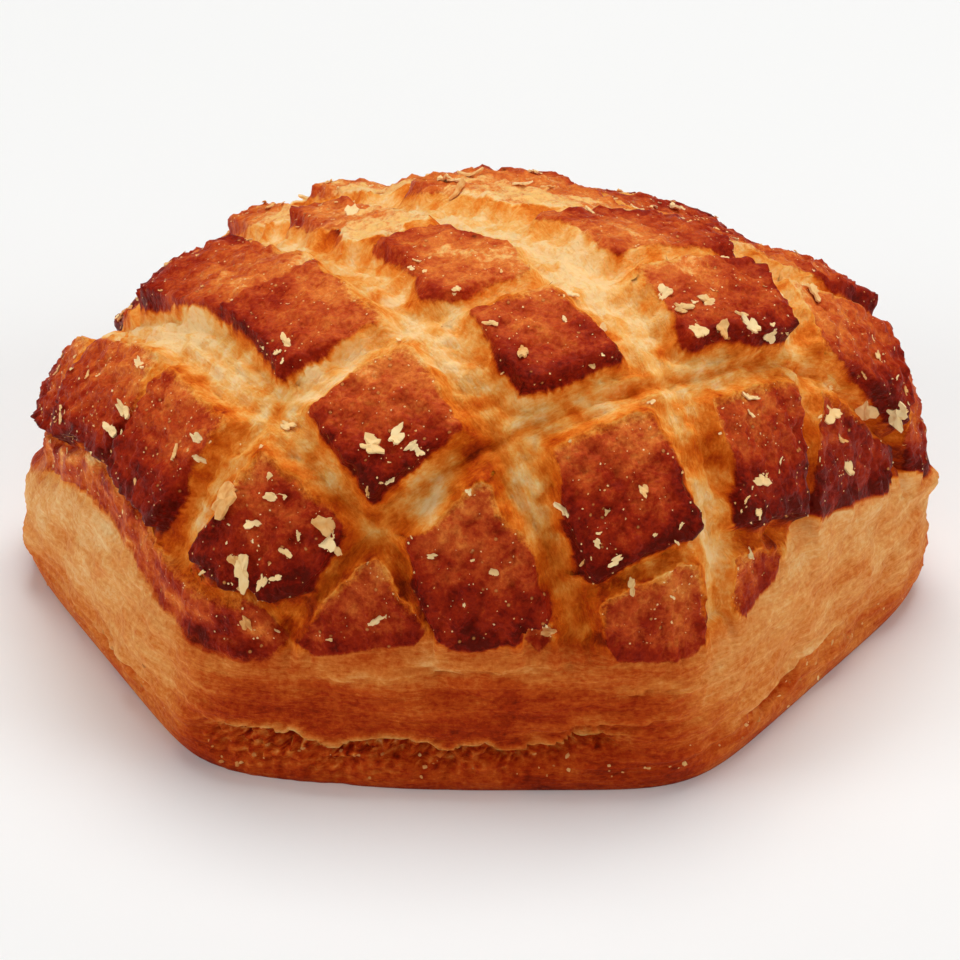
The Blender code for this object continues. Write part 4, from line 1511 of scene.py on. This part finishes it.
def joined_pieces(name, shapes, layings, seed):
    """One mesh of many copies. A laying is (place, normal, size, tip, sink)."""
    draw = np.random.default_rng(seed)
    corners, faces, shades = [], [], []
    start = 0
    for place, normal, size, tip, sink in layings:
        shape, shape_faces = shapes[draw.integers(len(shapes))]
        turn = turned_to(normal, draw.uniform(0.0, 2.0 * math.pi), tip)
        corners.append(shape * size @ turn.T + np.asarray(place) - np.asarray(normal) * sink * size)
        faces.extend(tuple(start + corner for corner in face) for face in shape_faces)
        shades.append(np.full(len(shape), draw.uniform(0.0, 1.0)))
        start += len(shape)
    mesh = bpy.data.meshes.new(name)
    mesh.from_pydata(np.concatenate(corners), [], faces)
    mesh.update()
    write_attribute(mesh, "shade", np.concatenate(shades))
    piece = bpy.data.objects.new(name, mesh)
    bpy.context.scene.collection.objects.link(piece)
    print(name, len(layings), "laid,", sum(len(face) - 2 for face in faces), "triangles")
    return piece


# %% [markdown]
# ## The large flakes
# The photo shows where the largest flakes lie. Each is given by its pixel and its length, and a ray
# from the camera finds the crust beneath that pixel, so the flake lies on the crust from every side.
# More flakes of the same sizes cover the sides that the photo doesn't show, by a seeded draw.

# %% The large flakes
# Where the photo shows a large flake: across and down, in pixels, and its length in millimetres.
FLAKES_SEEN = [
    (863, 409, 2.7), (897, 415, 3.0), (566, 512, 2.4), (227, 500, 3.4), (243, 571, 3.6), (548, 630, 2.2),
    (372, 447, 2.8), (396, 438, 2.4), (522, 352, 2.8), (680, 309, 2.2), (722, 329, 1.9), (751, 327, 2.3),
    (707, 302, 2.0), (253, 523, 1.6), (125, 410, 2.4), (176, 453, 1.6), (140, 365, 1.8), (644, 491, 1.6),
    (750, 399, 1.8), (840, 440, 1.4), (846, 468, 2.2), (762, 482, 1.7), (376, 621, 1.9), (632, 586, 1.8),
    (277, 578, 1.5), (329, 542, 1.9), (602, 329, 1.1), (571, 295, 1.3), (286, 343, 2.0), (494, 571, 1.1),
    (491, 324, 1.5), (565, 321, 1.2), (699, 332, 1.8), (830, 415, 2.2), (758, 512, 1.5), (274, 497, 2.2),
    (324, 525, 2.2), (246, 623, 1.8), (198, 439, 1.8), (199, 458, 1.6), (111, 431, 2.4), (113, 324, 2.2),
    (431, 556, 1.0), (617, 561, 1.6), (750, 555, 1.3), (413, 446, 1.6), (262, 582, 1.7), (286, 553, 1.6),
    (335, 549, 1.8), (235, 560, 1.5), (289, 427, 1.8), (741, 315, 1.4), (770, 335, 1.5), (664, 293, 1.6),
    (335, 180, 2.4), (352, 213, 2.0), (460, 190, 2.6), (590, 212, 1.8), (812, 292, 2.2), (780, 245, 2.2),
]
FLAKE_SEED = 5
SEEN_TIP = 0.22
SEEN_SINK = -0.08
MORE_FLAKES = 70
MORE_FLAKE_SIZES = (1.2 * MM, 2.8 * MM)
MORE_TIP = 0.25
MORE_SINK = -0.05
CRUSTY = (0.4 * MM, 1.2 * MM)
BACK_STARTS = 6.0 * MM


def under_pixel(across, down_the_photo):
    """The point of the crust, and its outward direction, under a pixel of the photo."""
    camera = bpy.context.scene.camera
    camera_turn = camera.rotation_euler.to_matrix()
    width = camera.data.sensor_width / camera.data.lens
    sideways = (across / PHOTO_SIZE - 0.5 + camera.data.shift_x) * width
    upwards = (0.5 - down_the_photo / PHOTO_SIZE) * width
    ray = camera_turn @ Vector((sideways, upwards, -1.0))
    hit, place, normal, _ = scone.ray_cast(camera.location, ray.normalized())
    return (np.array(place), np.array(normal)) if hit else None


def chosen_points(count, weights, seed):
    """Points of the net, drawn by weight."""
    draw = np.random.default_rng(seed)
    return draw.choice(len(weights), size=count, replace=False, p=weights / weights.sum())


def lay_large_flakes():
    """The flakes that the photo shows, and like ones where it shows nothing."""
    draw = np.random.default_rng(FLAKE_SEED)
    layings = []
    for across, down_the_photo, length in FLAKES_SEEN:
        found = under_pixel(across, down_the_photo)
        if found:
            place, normal = found
            tip = draw.uniform(-SEEN_TIP, SEEN_TIP)
            layings.append((place, leaning_up(normal), length * MM, tip, SEEN_SINK))
    crusty = ease(top_cell["inset"], *CRUSTY) * ~on_wall
    unseen = ease(skin[:, 1], BACK_STARTS, 2.0 * BACK_STARTS)
    for point in chosen_points(MORE_FLAKES, crusty * unseen, FLAKE_SEED):
        size = draw.uniform(*MORE_FLAKE_SIZES)
        tip = draw.uniform(-MORE_TIP, MORE_TIP)
        layings.append((skin[point], top_outward[point], size, tip, MORE_SINK))
    return joined_pieces("large_flakes", flake_shapes, layings, FLAKE_SEED)


large_flakes = lay_large_flakes()

# %% [markdown]
# ## Small flakes, crumbs and slivers
# These are scattered by rule. Each point of the net gets a weight, and points are drawn by weight.
# Small flakes gather by the plates' downhill edges and under the right-hand side, crumbs lie all over
# the crust and thinly in the valleys, browner crumbs line the foot, and slivers stand on the edges.

# %% Small flakes, crumbs and slivers
# How many, their sizes, how far each may tip, how deep it sinks in parts of its size, and a seed.
SMALL_FLAKES = (520, (0.35 * MM, 1.15 * MM), 0.6, -0.05, 15)
CRUMBS = (2600, (0.10 * MM, 0.30 * MM), 0.5, 0.0, 16)
FOOT_CRUMBS = (260, (0.25 * MM, 0.85 * MM), 0.5, 0.1, 17)
SLIVERS = (50, (0.35 * MM, 0.9 * MM), 1.2, 0.05, 18)
# Where bits gather, as a middle and a spread.
EDGE_PLACE = (0.2 * MM, 0.35 * MM)
FOOT_PLACE = (2.5 * MM, 1.6 * MM)
FOOT_SIDE = (-38.0, 12.0)
FOOT_CLEAR = 0.6 * MM
CRUST_STARTS = 0.4 * MM
FLAKY_DOWNHILL = (-0.1, 0.4)
FLAKY_FAR = (4.0 * MM, 14.0 * MM)
# How thickly small flakes lie on each kind of place, and crumbs off the crust.
FLAKY = {"crust": 0.25, "far side": 0.8, "edges": 0.35, "top": 0.02, "foot": 0.5}
CRUMBS_OFF_CRUST = 0.05


def lay_by_rule(name, shapes, weights, rule):
    """Copies on points drawn by weight, small ones more often than large ones."""
    count, sizes, tip, sink, seed = rule
    draw = np.random.default_rng(seed)
    layings = []
    for point in chosen_points(count, weights, seed):
        size = sizes[0] + (sizes[1] - sizes[0]) * draw.uniform(0.0, 1.0) ** 2
        layings.append((skin[point], outwards[point], size, draw.uniform(-tip, tip), sink))
    return joined_pieces(name, shapes, layings, seed)


def gathered(values, place):
    """1 where a value is in the middle of a place, and less away from it."""
    middle, spread = place
    return np.exp(-((values - middle) / spread) ** 2)


wall_outward = np.column_stack([np.cos(bearings), np.sin(bearings), np.zeros(len(bearings))])
outwards = np.where(on_wall[:, None], wall_outward, top_outward)
on_crust = ease(inset, 0.0, CRUST_STARTS) * ~on_wall
edges = gathered(inset, EDGE_PLACE) * ~on_wall
downhill_side = ease(top_cell["downhill"], *FLAKY_DOWNHILL)
far_side = ease(skin[:, 1], *FLAKY_FAR)
foot_edge = gathered(skin[:, 2], FOOT_PLACE) * on_wall * (skin[:, 2] > FOOT_CLEAR)

flaky = on_crust * (FLAKY["crust"] + downhill_side + FLAKY["far side"] * far_side)
flaky = flaky + FLAKY["edges"] * edges + FLAKY["top"] * ~on_wall
flaky = flaky + FLAKY["foot"] * foot_edge * gathered(np.degrees(bearings), FOOT_SIDE)
small_flakes = lay_by_rule("small_flakes", flake_shapes, flaky, SMALL_FLAKES)
crumbs = lay_by_rule("crumbs", crumb_shapes, on_crust + CRUMBS_OFF_CRUST * ~on_wall, CRUMBS)
foot_crumbs = lay_by_rule("foot_crumbs", crumb_shapes, foot_edge, FOOT_CRUMBS)
slivers = lay_by_rule("slivers", sliver_shapes, edges, SLIVERS)

# %% [markdown]
# ## Dried dough
# Flakes and crumbs are the palest things on the scone: cream where they are thick, and toasted to
# gold here and there. Each takes its tone from its own `shade`, with a little unevenness within it.

# %% Dried dough
DRY_STOPS = [(0.0, tone(252, 224, 168)), (0.45, tone(245, 204, 138)), (0.75, tone(232, 166, 92)),
             (1.0, tone(204, 116, 50))]
TOASTED_STOPS = [(0.0, tone(236, 190, 122)), (0.45, tone(214, 138, 70)), (1.0, tone(150, 66, 28))]
UNEVEN_SCALE = 1400.0
UNEVEN_MIDDLE = 0.38
UNEVEN_SHARE = 0.6
SHADE_SHARE = 0.65
DRY_FINISH = {"Roughness": 0.75, "Specular IOR Level": 0.2}


def dried(name, stops):
    """Material for small dry bits, coloured by each bit's own shade."""
    recipe = Recipe(name)
    uneven = recipe.noise(recipe.places(), UNEVEN_SCALE)
    shade = recipe.attribute("shade") * SHADE_SHARE
    value = (shade + (uneven - UNEVEN_MIDDLE) * UNEVEN_SHARE).clamped()
    return recipe.finish({"Base Color": recipe.ramp(value, stops), **DRY_FINISH})


pale_bits = dried("dried_dough", DRY_STOPS)
toasted_bits = dried("toasted_dough", TOASTED_STOPS)
for piece in (large_flakes, small_flakes, crumbs):
    piece.data.materials.append(pale_bits)
for piece in (foot_crumbs, slivers):
    piece.data.materials.append(toasted_bits)
print("bits:", [piece.name for piece in (large_flakes, small_flakes, crumbs, foot_crumbs, slivers)])

# %% [markdown]
# ## Attach the pieces
# The fine scone and its flakes together take the place of the imported solid, which has the largest
# flakes fused on. They ride on the one body that there is.

# %% Attach the pieces
for piece in (scone, large_flakes, small_flakes, crumbs, foot_crumbs, slivers):
    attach(piece, "root")
    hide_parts("potato_scone")
